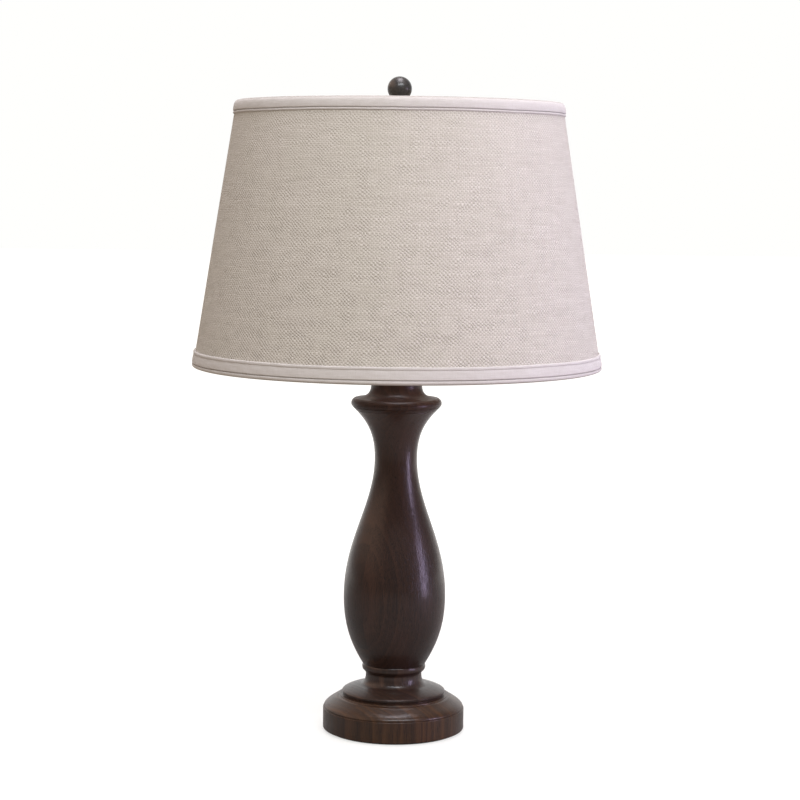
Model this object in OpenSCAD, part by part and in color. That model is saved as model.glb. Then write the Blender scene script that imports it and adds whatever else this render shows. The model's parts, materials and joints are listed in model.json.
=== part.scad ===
// Turned wood table lamp with a tapered fabric drum shade.
// Millimetres, +Z up, origin at the centre of the underside, front towards -Y.

/* [Foot] */
// Thickness of the felt under the foot
felt_thickness = 1.5; // [1:0.5:3]
// Radius of the felt
felt_radius = 67; // [60:0.5:68]
// Radius of the foot at its side
foot_radius = 70.8; // [69:0.1:76]
// Height of the foot's straight side
foot_side = 20.4; // [17:0.1:23]
// Radius of the foot's shoulder
foot_edge_radius = 3.4; // [2:0.1:4]
// Height of the ledge that the dome ring sits on
foot_height = 34.1; // [31:0.1:38]
// Radius of the foot's lower edge
foot_bottom_round = 1.2; // [0.6:0.1:1.6]
// Radius of the pocket under the foot
pocket_radius = 24; // [20:0.5:28]
// Depth of the pocket under the foot
pocket_depth = 13; // [12.5:0.1:14]

/* [Dome ring] */
// Radius of the dome ring at its step
dome_radius = 51.3; // [47:0.1:54]
// Height of the dome ring's upright step
dome_step = 3.3; // [2:0.1:4]
// Height from the ledge to the foot of the cove
dome_rise = 10.2; // [8:0.1:12]
// Radius where the dome meets the cove
cove_foot_radius = 31.5; // [30.5:0.1:34]
// Smallest radius of the cove
cove_radius = 27.9; // [26:0.1:29]
// Height of the cove's throat above the ledge
cove_throat = 19.9; // [18:0.1:21]
// Largest radius of the bead
bead_radius = 31.65; // [31:0.05:33]
// Height of the bead's middle above the ledge
bead_height = 28.5; // [27.5:0.1:29]
// Height of the dome ring above the ledge
ring_height = 31.6; // [31.2:0.1:34]

/* [Column] */
// Radius of the column where it leaves the bead
column_foot_radius = 31.2; // [30:0.1:33]
// Largest radius of the belly
belly_radius = 50.9; // [46:0.1:56]
// Height of the belly above the bead joint
belly_height = 68.6; // [60:0.1:78]
// Smallest radius of the waist
waist_radius = 21.2; // [20:0.1:25]
// Height of the waist above the bead joint
waist_height = 207.3; // [195:0.1:220]
// Radius of the column's rim under the collar
flare_radius = 41.2; // [38:0.1:44]
// Height of the column above the bead joint
column_height = 257.1; // [250:0.1:275]

/* [Collar and neck] */
// Largest radius of the collar
collar_radius = 44.65; // [42:0.05:47]
// Radius of the collar's rounded edge
collar_round = 5.3; // [4.5:0.1:6]
// Radius of the neck
neck_radius = 25.4; // [22:0.1:28]
// Height where the neck becomes straight, above the column
neck_start = 22.2; // [18:0.1:26]
// Height of the collar and neck above the column
neck_height = 45.2; // [40:0.1:55]
// Radius of the neck's top edge
neck_round = 2; // [1:0.1:3]
// Radius of the tenons that join the wood
tenon_radius = 14; // [11:0.5:16]
// Length of the tenons
tenon_length = 9; // [6:0.5:11]

/* [Pipe and nuts] */
// Outer radius of the lamp pipe
pipe_radius = 5.14; // [4.8:0.02:5.4]
// Wall of the lamp pipe
pipe_wall = 1.7; // [1.2:0.1:2]
// Length of pipe that shows below the lower nut
pipe_tail = 1.3; // [0.5:0.1:2]
// Distance across the flats of the hexagon nuts
nut_flats = 14.3; // [13:0.1:16]
// Height of the lower nut
base_nut_height = 4.5; // [3:0.1:5]
// Radius of the lower steel washer
base_washer_radius = 17; // [14:0.5:18]
// Thickness of the lower steel washer
base_washer_thickness = 2; // [1:0.1:2.4]
// Outer radius of the spring washer
spring_washer_radius = 8.6; // [8:0.1:10]
// Thickness of the spring washer
spring_washer_thickness = 1.2; // [0.8:0.1:1.6]
// Radius of the cap on the neck
vase_cap_radius = 20; // [16:0.5:21]
// Height of the cap on the neck
vase_cap_height = 4.2; // [3:0.1:6]
// Outer radius of the spacer tube
spacer_radius = 7.5; // [7:0.1:9]
// Height of the spacer tube
spacer_height = 7; // [4:0.5:12]
// Height of the nut under the harp saddle
neck_nut_height = 3; // [2:0.1:4]

/* [Cord inlet] */
// Height of the cord inlet above the foot's underside
inlet_height = 8; // [7.8:0.1:8.5]
// Bore radius of the cord bushing
inlet_bore_radius = 3.3; // [2.6:0.1:3.8]
// Outer radius of the bushing's sleeve
bushing_radius = 4.9; // [4.5:0.1:5.2]
// Radius of the bushing's flange
bushing_flange_radius = 6.5; // [6.2:0.1:6.9]
// Thickness of the bushing's flange
bushing_flange = 1.4; // [1:0.1:2]
// Length of the bushing's sleeve inside the wood
bushing_length = 12; // [8:0.5:20]

/* [Lampholder] */
// Radius of the lampholder cap
socket_cap_radius = 17.4; // [17:0.1:19]
// Height of the threaded collar under the cap
socket_hub_height = 7; // [6:0.5:9]
// Radius of the threaded collar
socket_hub_radius = 8; // [7.6:0.1:9]
// Height of the cap from the collar to its rim
socket_cap_height = 17; // [15:0.5:20]
// Sheet thickness of the cap and shell
socket_sheet = 0.7; // [0.5:0.1:0.9]
// Height of the shell above the cap's rim
socket_shell_height = 35.5; // [34:0.5:40]
// Thickness of the card liner
socket_liner_thickness = 0.6; // [0.4:0.1:0.8]
// Height of the moulded inner body
socket_body_height = 22; // [20:0.5:23]
// Bore radius of the screw shell
screw_shell_bore = 13.4; // [13.3:0.05:13.6]
// Sheet thickness of the screw shell
screw_shell_sheet = 0.4; // [0.3:0.05:0.5]
// Height of the screw shell
screw_shell_height = 22; // [18:0.5:23]
// Height of the centre contact above the inner body
contact_height = 2.2; // [1.5:0.1:3]
// Radius of the switch shaft
switch_shaft_radius = 1.6; // [1.2:0.1:2]
// Running clearance round the shafts that turn
running_clearance = 0.05; // [0.02:0.01:0.09]
// Height of the switch shaft above the cap's rim
switch_height = 3.4; // [3:0.1:5]
// Radius of the switch knob
knob_radius = 4.8; // [4:0.1:6]
// Length of the switch knob
knob_length = 13; // [10:0.5:16]
// Thickness of the knob's flat grip
knob_grip = 3.6; // [3:0.1:5]

/* [Bulb] */
// Radius of the bulb's screw cap
bulb_cap_radius = 13.1; // [12.9:0.05:13.15]
// Height of the bulb's screw cap
bulb_cap_height = 20; // [18:0.5:22]
// Radius of the glass globe
bulb_radius = 30; // [22:0.5:34]
// Height of the whole bulb
bulb_height = 108; // [100:0.5:116]
// Thickness of the glass
bulb_glass = 0.8; // [0.5:0.1:1.2]

/* [Harp] */
// Height from the saddle to the shade's seat
harp_height = 224.5; // [215:0.5:240]
// Half the widest distance between the wires
harp_half_width = 57; // [48:0.5:66]
// Half the distance between the saddle's ears
saddle_half_width = 28; // [26:0.5:32]
// Radius of the harp wire
harp_wire_radius = 1.8; // [1.4:0.1:2.2]
// Bending radius of the harp's lower curves
harp_bend_radius = 45; // [36:1:60]
// Sheet thickness of the saddle
saddle_sheet = 1.6; // [1.2:0.1:2]
// Width of the saddle at its ears
saddle_ear_width = 10; // [9.8:0.1:12]
// Width of the saddle at its middle
saddle_middle_width = 22; // [18:0.5:26]
// Height of the ear's shoulder above the saddle
saddle_shoulder = 8.3; // [7:0.1:10]
// Width of the tab on the ear
tab_width = 5.2; // [4.4:0.1:5.6]
// Height of the tab on the ear
tab_height = 9.6; // [8:0.1:11]
// Radius of the harp's slotted feet
harp_foot_radius = 3.4; // [3.2:0.1:3.8]
// Wall of the sleeves that lock the harp
sleeve_wall = 0.9; // [0.6:0.1:1.2]
// Travel of the sleeves up the harp
sleeve_travel = 12; // [10:0.5:14]
// Radius of the eye at the top of the harp
eye_radius = 7; // [6.4:0.1:9]
// Metal of the eye above and below the wire
eye_margin = 0.2; // [0.1:0.1:0.6]

/* [Swivel and finial] */
// Radius of the swivel's shank
swivel_shank_radius = 3.05; // [2.6:0.05:3.4]
// Radius of the swivel's flange
swivel_flange_radius = 7.5; // [6.5:0.1:9]
// Thickness of the swivel's flange
swivel_flange = 2.6; // [2:0.1:4]
// Radius of the threaded post
post_radius = 3.175; // [2.9:0.005:3.3]
// Height of the threaded post
post_height = 16.5; // [14:0.5:17.5]
// Radius of the finial's ball
finial_radius = 12; // [10:0.1:14]
// Height of the ball's middle above the finial's base
finial_ball_height = 25.5; // [24:0.1:28]
// Radius of the finial's base
finial_base_radius = 7.6; // [6.5:0.1:9]
// Smallest radius of the finial's stem
finial_stem_radius = 4.9; // [4.6:0.1:6]

/* [Shade] */
// Height of the shade
shade_height = 260; // [240:1:275]
// Radius of the fabric at the bottom
shade_bottom_radius = 201.4; // [185:0.1:215]
// Radius of the fabric at the top
shade_top_radius = 159.6; // [145:0.1:175]
// Thickness of the fabric
fabric_thickness = 0.8; // [0.5:0.1:1.2]
// Thickness of the stiff liner
liner_thickness = 0.6; // [0.4:0.1:1]
// Thickness of the trim tape on the outside
trim_thickness = 1.8; // [1:0.1:2.2]
// Thickness of the trim tape round the edge and inside
trim_fold_thickness = 0.6; // [0.4:0.1:1]
// Height of the top trim on the outside
top_trim_height = 13.4; // [10:0.1:18]
// Height of the bottom trim on the outside
bottom_trim_height = 16; // [10:0.1:20]
// Height of the trim tape on the inside
trim_inside_height = 12; // [11:0.1:16]
// Radius of the ring wires
ring_wire_radius = 1.6; // [1.2:0.1:2]
// Distance that the spider hub lies below the top ring
spider_drop = 12.4; // [8:0.1:14]
// Radius of the spider's arms
arm_radius = 1.7; // [1.4:0.1:2]
// Radius of the spider hub
hub_radius = 11; // [10:0.1:13]
// Thickness of the spider hub
hub_thickness = 4.6; // [4.2:0.1:6]
// Radius at which an arm starts to climb
arm_bend_radius = 118; // [90:1:130]

/* [Clearances] */
// Radial clearance of the pipe in the bores
bore_clearance = 0.25; // [0.15:0.05:0.4]
// Clearance where pieces meet without a fit
seat_clearance = 0.3; // [0.2:0.05:0.35]
// Glue clearance of the tenons
glue_clearance = 0.1; // [0.05:0.05:0.2]
// Clearance inside the folded trims
fold_clearance = 0.1; // [0.05:0.05:0.2]

/* [Hidden] */
$fn = 96;
// Overlap of the cuts with the faces they open, and the overshoot of cutting bodies
eps = 0.01;
over = 1;
// Share of a wire's radius that the ball at its junctions has
knuckle_share = 1.02;

// Heights of the wood, one joint plane above the other
foot_z = felt_thickness;
ledge_z = foot_z + foot_height;
bead_joint_z = ledge_z + ring_height;
collar_joint_z = bead_joint_z + column_height;
neck_top_z = collar_joint_z + neck_height;
pocket_z = foot_z + pocket_depth;
bore_radius = pipe_radius + bore_clearance;
tenon_socket_radius = tenon_radius + glue_clearance;
tenon_socket_depth = tenon_length + seat_clearance;

// Stack of washers and nuts on the pipe
base_washer_z = pocket_z - base_washer_thickness;
spring_washer_z = base_washer_z - spring_washer_thickness;
base_nut_z = spring_washer_z - base_nut_height;
pipe_bottom_z = base_nut_z - pipe_tail;
spacer_z = neck_top_z + vase_cap_height;
neck_nut_z = spacer_z + spacer_height;
saddle_z = neck_nut_z + neck_nut_height;
socket_z = saddle_z + saddle_sheet;
cap_neck_z = socket_z + socket_hub_height;
pipe_top_z = cap_neck_z + socket_sheet;
pipe_bore_radius = pipe_radius - pipe_wall;
nut_corner_radius = nut_flats / 2 / cos(30);

// Cord inlet at the back
inlet_z = foot_z + inlet_height;
inlet_hole_radius = bushing_radius + glue_clearance;
spot_face_depth = 1.2;
spot_face_y = foot_radius - spot_face_depth;
spot_face_radius = bushing_flange_radius + seat_clearance;
bushing_inner_y = spot_face_y - bushing_length;

// Lampholder
cap_rim_z = cap_neck_z + socket_cap_height;
cap_straight = 6;
cap_inner_radius = socket_cap_radius - socket_sheet;
shell_radius = cap_inner_radius - seat_clearance;
shell_bottom_z = cap_rim_z - cap_straight;
shell_top_z = cap_rim_z + socket_shell_height;
shell_lip = 1.2;
shell_bead_radius = 0.8;
shell_bead_drop = 3;
liner_radius = shell_radius - socket_sheet - fold_clearance;
liner_inner_radius = liner_radius - socket_liner_thickness;
liner_top_z = shell_top_z - 2 * socket_sheet;
socket_body_radius = liner_inner_radius - seat_clearance;
body_neck_radius = 9;
body_neck_height = 5;
body_z = cap_neck_z + socket_sheet + 4;
body_top_z = body_z + socket_body_height;
contact_radius = 4.5;
contact_tongue_radius = 2.5;
screw_shell_hole = contact_radius + 2;
contact_sheet = 0.5;
contact_top_z = body_top_z + contact_height;
switch_z = cap_rim_z + switch_height;
switch_depth = 9;
switch_hole_radius = switch_shaft_radius + seat_clearance;
knob_y = shell_radius + 2;
knob_collar = 3;
terminal_screw_radius = 2.1;
terminal_screw_height = 2.2;
terminal_z = body_z + body_neck_height / 2;
terminal_flat = body_neck_radius - 1;
terminal_cut = 10;
terminal_width = 9;
terminal_slot = 0.7;

// Bulb, from its tip upwards
tip_z = contact_top_z + seat_clearance;
tip_height = 1.6;
tip_radius = 4.8;
tip_flat_radius = tip_radius - 2;
tip_from = -70;
insulator_z = tip_z + tip_height;
insulator_height = 3.2;
insulator_radius = tip_radius + 0.6;
insulator_top_radius = 10;
bulb_cap_z = insulator_z + insulator_height;
bulb_cap_top_z = bulb_cap_z + bulb_cap_height;
bulb_cap_sheet = 0.4;
bulb_cap_cone = 2.4;
bulb_top_z = tip_z + bulb_height;
globe_z = bulb_top_z - bulb_radius;
globe_join_angle = -30;
globe_neck_radius = bulb_cap_radius - bulb_cap_sheet - 0.2;
globe_neck_z = bulb_cap_top_z - 8;
stem_flare = 1.4;
stem_radius = 3;
stem_top_z = globe_z - 18;
filament_radius = 11;
filament_wire = 0.5;
filament_z = globe_z - 2;
filament_gap_angle = 40;

// Harp and saddle, in the plane of X and Z
shoulder_z = saddle_z + saddle_shoulder;
tab_top_z = shoulder_z + tab_height;
harp_foot_z = shoulder_z + seat_clearance;
slot_top_z = tab_top_z + seat_clearance;
slot_half = saddle_sheet / 2 + seat_clearance;
harp_foot_top_z = slot_top_z + 1.8;
sleeve_bore = harp_foot_radius + seat_clearance;
sleeve_radius = sleeve_bore + sleeve_wall;
sleeve_lid = 1;
sleeve_lid_z = harp_foot_top_z + seat_clearance;
sleeve_top_z = sleeve_lid_z + sleeve_lid;
sleeve_wire_hole = harp_wire_radius + seat_clearance;
seat_z = saddle_z + harp_height;
swivel_flange_z = seat_z - swivel_flange;
eye_thickness = 2 * (harp_wire_radius + eye_margin);
eye_top_z = swivel_flange_z - seat_clearance / 3;
eye_z = eye_top_z - eye_thickness;
harp_top_z = eye_z + eye_thickness / 2;
lower_bend_z = sleeve_top_z + sleeve_travel + 2;
bend_angle = acos(1 - (harp_half_width - saddle_half_width) / (2 * harp_bend_radius));
bend_rise = 2 * harp_bend_radius * sin(bend_angle);
upper_bend_z = lower_bend_z + bend_rise;
eye_entry = eye_radius - 2.5;
arch_radius = harp_half_width - eye_entry;
arch_z = harp_top_z - arch_radius;

// Swivel, hub and finial
rivet_head_radius = 4.6;
rivet_head = 1.6;
hub_z = seat_z + seat_clearance;
hub_mid_z = hub_z + hub_thickness / 2;
hub_top_z = hub_z + hub_thickness;
hub_hole_radius = post_radius + seat_clearance;
finial_z = hub_top_z + seat_clearance;
ball_z = finial_z + finial_ball_height;
finial_bore_radius = post_radius + running_clearance;
finial_bore_top_z = seat_z + post_height + seat_clearance;
finial_base_height = 2;

// Shade, in distances along its slope and square to it
taper = atan((shade_bottom_radius - shade_top_radius) / shade_height);
slope_length = shade_height / cos(taper);
ring_inset = trim_fold_thickness + fold_clearance + ring_wire_radius;
wall_thickness = fabric_thickness + liner_thickness;
ring_offset = -(wall_thickness + fold_clearance + ring_wire_radius);
ring_z = hub_mid_z + spider_drop;
shade_top_z = ring_z + ring_inset * cos(taper) - ring_offset * sin(taper);
shade_bottom_z = shade_top_z - shade_height;
ring_radius = wall_point(slope_length - ring_inset, ring_offset)[0];
fold_inside = ring_offset - ring_wire_radius - fold_clearance;
fold_turn = ring_inset + ring_wire_radius + 0.4;
fold_back = fold_turn + 4.4;
tape_round = 0.8;
tape_hem_round = 0.6;
arm_angles = [90, 210, 330];
arm_grip = 4;
arm_start = hub_radius - arm_grip;
arm_end = ring_radius - ring_wire_radius - fold_clearance;
arm_level_length = 9;
arm_level = arm_end - arm_level_length;

// Colours
wood_dark = "#3a2820";
bronze = "#2b2522";
brass = "#b08d4a";
steel = "#9a9a9c";
nickel = "#b8b6ae";
bakelite = "#1c1917";
card = "#8c7a5f";
glass_white = "#f3f0e8";
oatmeal = "#cfc6b8";
tape_white = "#dcd5cd";
liner_white = "#f2efe9";
felt_green = "#2c3b32";

// Point on the shade: s along the slope from the bottom edge, n outward from the fabric's face
function wall_point(s, n) = [shade_bottom_radius - s * sin(taper) + n * cos(taper),
                             shade_bottom_z + s * cos(taper) + n * sin(taper)];

function bezier(a, b, c, d, n) = [for (i = [0:n])
    let (t = i / n, u = 1 - t)
    u * u * u * a + 3 * u * u * t * b + 3 * u * t * t * c + t * t * t * d];

function arc(x, z, r, from, to, n) = [for (i = [0:n])
    let (a = from + (to - from) * i / n)
    [x + r * cos(a), z + r * sin(a)]];

// Solid of revolution from an outline of [radius, height] points
module turned(outline) {
    rotate_extrude() polygon(outline);
}

module tube(z, height, outer, inner) {
    translate([0, 0, z]) difference() {
        cylinder(h = height, r = outer);
        translate([0, 0, -eps]) cylinder(h = height + 2 * eps, r = inner);
    }
}

// Round bar in the plane of X and Z
module bar(from, to, r) {
    run = to - from;
    translate([from[0], 0, from[1]])
        rotate([0, atan2(run[0], run[1]), 0])
        cylinder(h = norm(run), r = r);
}

// Bent round bar in the plane of X and Z
module bent_bar(centre, bend, from, to, r) {
    translate([centre[0], 0, centre[1]])
        rotate([90, 0, 0])
        rotate([0, 0, from])
        rotate_extrude(angle = to - from)
        translate([bend, 0])
        circle(r = r);
}

// Ball a hair fatter than the bar, where one stretch of wire meets the next
module knuckle(at, r) {
    translate([at[0], 0, at[1]]) sphere(r = knuckle_share * r);
}

// Bore for the lamp pipe
module pipe_bore(bottom, top) {
    translate([0, 0, bottom - eps]) cylinder(h = top - bottom + 2 * eps, r = bore_radius);
}

// Socket in the top of a wooden piece, and the tenon under the next one
module tenon_socket(top) {
    translate([0, 0, top - tenon_socket_depth])
        cylinder(h = tenon_socket_depth + eps, r = tenon_socket_radius);
}

module tenon(top) {
    translate([0, 0, top - tenon_length]) cylinder(h = tenon_length + eps, r = tenon_radius);
}

// Foot: straight side, rounded shoulder, and an ovolo up to the ledge
foot_edge_angle = 54;
ovolo_pull = [3.3, 0.8];
ledge_pull = [7, -0.2];
foot_outline = concat(
    [[0, foot_z]],
    arc(foot_radius - foot_bottom_round, foot_z + foot_bottom_round, foot_bottom_round, -90, 0, 4),
    arc(foot_radius - foot_edge_radius, foot_z + foot_side, foot_edge_radius, 0, foot_edge_angle, 6),
    bezier([foot_radius - foot_edge_radius * (1 - cos(foot_edge_angle)),
            foot_z + foot_side + foot_edge_radius * sin(foot_edge_angle)],
           [dome_radius, ledge_z] + ovolo_pull,
           [dome_radius, ledge_z] + ledge_pull,
           [dome_radius, ledge_z], 14),
    [[0, ledge_z]]);

module foot() {
    color(wood_dark) difference() {
        turned(foot_outline);
        pipe_bore(pocket_z, ledge_z);
        translate([0, 0, foot_z - eps]) cylinder(h = pocket_depth + eps, r = pocket_radius);
        tenon_socket(ledge_z);
        translate([0, 0, inlet_z]) rotate([-90, 0, 0]) cylinder(h = foot_radius + over, r = inlet_hole_radius);
        translate([0, spot_face_y, inlet_z]) rotate([-90, 0, 0])
            cylinder(h = spot_face_depth + over, r = spot_face_radius);
    }
}

// Dome ring: upright step, low dome, cove and bead
bead_round = 6;
bead_from = -22;
bead_to = 26;
bead_z = ledge_z + bead_height;
throat_z = ledge_z + cove_throat;
dome_top_z = ledge_z + dome_rise;
dome_step_z = ledge_z + dome_step;
bead_foot = [bead_radius - bead_round + bead_round * cos(bead_from), bead_z + bead_round * sin(bead_from)];
step_radius = dome_radius - 0.2;
bead_joint_radius = column_foot_radius - 0.5;
dome_pull_low = [2.8, 1.2];
dome_pull_high = [8.3, -0.7];
cove_pull_low = [-2.7, 1];
cove_pull_under = 5;
cove_pull_over = 3;
bead_pull = [1.2, 1.9];
dome_outline = concat(
    [[0, ledge_z], [step_radius, ledge_z]],
    bezier([step_radius, dome_step_z],
           [step_radius, dome_step_z] + dome_pull_low,
           [cove_foot_radius, dome_top_z] + dome_pull_high,
           [cove_foot_radius, dome_top_z], 12),
    bezier([cove_foot_radius, dome_top_z],
           [cove_foot_radius, dome_top_z] + cove_pull_low,
           [cove_radius, throat_z - cove_pull_under],
           [cove_radius, throat_z], 8),
    bezier([cove_radius, throat_z],
           [cove_radius, throat_z + cove_pull_over],
           bead_foot - bead_pull,
           bead_foot, 6),
    arc(bead_radius - bead_round, bead_z, bead_round, bead_from, bead_to, 6),
    [[bead_joint_radius, bead_joint_z], [0, bead_joint_z]]);

module dome_ring() {
    color(wood_dark) difference() {
        union() {
            turned(dome_outline);
            tenon(ledge_z);
        }
        pipe_bore(ledge_z - tenon_length, bead_joint_z);
        tenon_socket(bead_joint_z);
    }
}

// Column: belly, waist and trumpet flare
belly_z = bead_joint_z + belly_height;
waist_z = bead_joint_z + waist_height;
belly_rise = belly_z - bead_joint_z;
belly_fall = waist_z - belly_z;
flare_rise = collar_joint_z - waist_z;
// Shares of each stretch that the curve's handles reach
belly_pull_out = 0.6;
belly_pull_low = 0.28;
belly_pull_under = 0.56;
belly_pull_over = 0.418;
waist_pull_under = 0.344;
waist_pull_over = 0.484;
flare_pull = 13;
column_outline = concat(
    [[0, bead_joint_z]],
    bezier([column_foot_radius, bead_joint_z],
           [column_foot_radius + belly_pull_out * (belly_radius - column_foot_radius),
            bead_joint_z + belly_pull_low * belly_rise],
           [belly_radius, bead_joint_z + belly_pull_under * belly_rise],
           [belly_radius, belly_z], 16),
    bezier([belly_radius, belly_z],
           [belly_radius, belly_z + belly_pull_over * belly_fall],
           [waist_radius, waist_z - waist_pull_under * belly_fall],
           [waist_radius, waist_z], 24),
    bezier([waist_radius, waist_z],
           [waist_radius, waist_z + waist_pull_over * flare_rise],
           [flare_radius - flare_pull, collar_joint_z - flare_pull],
           [flare_radius, collar_joint_z], 16),
    [[0, collar_joint_z]]);

module column() {
    color(wood_dark) difference() {
        union() {
            turned(column_outline);
            tenon(bead_joint_z);
        }
        pipe_bore(bead_joint_z - tenon_length, collar_joint_z);
        tenon_socket(collar_joint_z);
    }
}

// Collar: rounded edge, cove, and the neck that goes up into the shade
collar_from = -80;
collar_to = 58;
collar_edge_x = collar_radius - collar_round;
collar_edge_z = collar_joint_z - collar_round * sin(collar_from);
collar_top_radius = collar_edge_x + collar_round * cos(collar_to) - 0.7;
collar_top_z = collar_edge_z + collar_round * sin(collar_to) + 0.5;
collar_pull_out = [8.6, 2.2];
collar_pull_in = [0.8, 3.4];
straight_z = collar_joint_z + neck_start;
collar_outline = concat(
    [[0, collar_joint_z]],
    arc(collar_edge_x, collar_edge_z, collar_round, collar_from, collar_to, 12),
    bezier([collar_top_radius, collar_top_z],
           [neck_radius, collar_top_z] + collar_pull_out,
           [neck_radius, collar_top_z] + collar_pull_in,
           [neck_radius, straight_z], 14),
    arc(neck_radius - neck_round, neck_top_z - neck_round, neck_round, 0, 90, 4),
    [[0, neck_top_z]]);

module collar_neck() {
    color(wood_dark) difference() {
        union() {
            turned(collar_outline);
            tenon(collar_joint_z);
        }
        pipe_bore(collar_joint_z - tenon_length, neck_top_z);
    }
}

module felt_pad() {
    color(felt_green) cylinder(h = felt_thickness, r = felt_radius);
}

module cord_bushing() {
    color(bakelite) translate([0, 0, inlet_z]) rotate([-90, 0, 0]) difference() {
        union() {
            translate([0, 0, bushing_inner_y]) cylinder(h = bushing_length, r = bushing_radius);
            translate([0, 0, spot_face_y]) cylinder(h = bushing_flange, r = bushing_flange_radius);
        }
        translate([0, 0, bushing_inner_y - eps])
            cylinder(h = bushing_length + bushing_flange + 2 * eps, r = inlet_bore_radius);
    }
}

module lamp_pipe() {
    color(brass) tube(pipe_bottom_z, pipe_top_z - pipe_bottom_z, pipe_radius, pipe_bore_radius);
}

module base_washer() {
    color(steel) tube(base_washer_z, base_washer_thickness, base_washer_radius, bore_radius);
}

spring_washer_slit = 1.2;
module base_spring_washer() {
    color(steel) difference() {
        tube(spring_washer_z, spring_washer_thickness, spring_washer_radius, bore_radius);
        translate([-spring_washer_slit / 2, 0, spring_washer_z - eps])
            cube([spring_washer_slit, spring_washer_radius + over, spring_washer_thickness + 2 * eps]);
    }
}

module hex_nut(z, height) {
    difference() {
        translate([0, 0, z]) cylinder(h = height, r = nut_corner_radius, $fn = 6);
        translate([0, 0, z - eps]) cylinder(h = height + 2 * eps, r = pipe_radius + running_clearance);
    }
}

module base_nut() {
    color(steel) hex_nut(base_nut_z, base_nut_height);
}

// Domed cap on the neck, with a raised boss under the spacer
vase_cap_edge = 1.2;
vase_cap_boss = spacer_radius + 1.5;
vase_cap_pull_edge = [-2, 1.2];
vase_cap_pull_boss = [2.5, -1];
module vase_cap() {
    color(bronze) difference() {
        turned(concat(
            [[0, neck_top_z], [vase_cap_radius, neck_top_z]],
            bezier([vase_cap_radius, neck_top_z + vase_cap_edge],
                   [vase_cap_radius, neck_top_z + vase_cap_edge] + vase_cap_pull_edge,
                   [vase_cap_boss, spacer_z] + vase_cap_pull_boss,
                   [vase_cap_boss, spacer_z], 8),
            [[0, spacer_z]]));
        pipe_bore(neck_top_z, spacer_z);
    }
}

module neck_spacer() {
    color(bronze) tube(spacer_z, spacer_height, spacer_radius, bore_radius);
}

module neck_nut() {
    color(brass) hex_nut(neck_nut_z, neck_nut_height);
}

// Lampholder cap: threaded collar and a spun cup
cup_pull_out = 6;
cup_pull_up = 4;
cup_top_z = shell_bottom_z - 1;

// Outline of the cup's outside, or of its inside where sheet is the wall
function cup_outline(sheet) = let (z = cap_neck_z + sheet, r = socket_cap_radius - sheet) concat(
    [[0, z], [socket_hub_radius, z]],
    bezier([socket_hub_radius, z],
           [socket_hub_radius + cup_pull_out - sheet, z],
           [r, z + cup_pull_up],
           [r, cup_top_z], 8));

module socket_cap() {
    color(brass) difference() {
        union() {
            translate([0, 0, socket_z]) cylinder(h = socket_hub_height + eps, r = socket_hub_radius);
            turned(concat(cup_outline(0), [[socket_cap_radius, cap_rim_z], [0, cap_rim_z]]));
        }
        turned(concat(cup_outline(socket_sheet), [[cap_inner_radius, cap_rim_z + eps], [0, cap_rim_z + eps]]));
        translate([0, 0, socket_z - eps])
            cylinder(h = socket_hub_height + socket_sheet + over, r = pipe_radius + running_clearance);
        translate([0, 0, socket_z + socket_hub_height / 2]) rotate([-90, 0, 0])
            cylinder(h = socket_hub_radius + over, r = set_screw_radius + running_clearance);
    }
}

// Set screw that locks the cap to the pipe
set_screw_radius = 1.5;
set_screw_head = 1.4;
set_screw_head_radius = 2.6;
screw_slot = 0.8;
screw_slot_depth = 0.6;
set_screw_seat = socket_hub_radius + fold_clearance;

// Cut for a screwdriver slot that ends in the face at height z
module driver_slot(z, width, head_radius) {
    translate([-width / 2, -head_radius - over, z - screw_slot_depth])
        cube([width, 2 * (head_radius + over), screw_slot_depth + over]);
}

module socket_set_screw() {
    color(steel) translate([0, 0, socket_z + socket_hub_height / 2]) rotate([-90, 0, 0]) difference() {
        union() {
            translate([0, 0, pipe_radius + fold_clearance])
                cylinder(h = socket_hub_radius - pipe_radius + seat_clearance, r = set_screw_radius);
            translate([0, 0, set_screw_seat]) cylinder(h = set_screw_head, r = set_screw_head_radius);
        }
        driver_slot(set_screw_seat + set_screw_head, screw_slot, set_screw_head_radius);
    }
}

// Hole to the front for the switch shaft
module switch_hole(radius) {
    translate([0, 0, switch_z]) rotate([90, 0, 0]) cylinder(h = radius + over, r = switch_hole_radius);
}

// Shell of the lampholder with two rolled beads and a turned-in lip
module socket_shell() {
    color(brass) difference() {
        rotate_extrude() union() {
            polygon([
                [shell_radius - socket_sheet, shell_bottom_z],
                [shell_radius, shell_bottom_z],
                [shell_radius, shell_top_z - socket_sheet],
                [shell_radius - socket_sheet, shell_top_z],
                [shell_radius - shell_lip, shell_top_z],
                [shell_radius - shell_lip, shell_top_z - socket_sheet],
                [shell_radius - socket_sheet, shell_top_z - socket_sheet]]);
            for (z = [switch_z + knob_radius + 2 * shell_bead_radius, shell_top_z - shell_bead_drop])
                translate([shell_radius, z]) intersection() {
                    circle(r = shell_bead_radius, $fn = 24);
                    translate([-socket_sheet / 2, -over]) square(2 * over);
                }
        }
        switch_hole(shell_radius);
    }
}

module socket_liner() {
    color(card) difference() {
        tube(shell_bottom_z, liner_top_z - shell_bottom_z, liner_radius, liner_inner_radius);
        switch_hole(liner_radius);
    }
}

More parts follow.
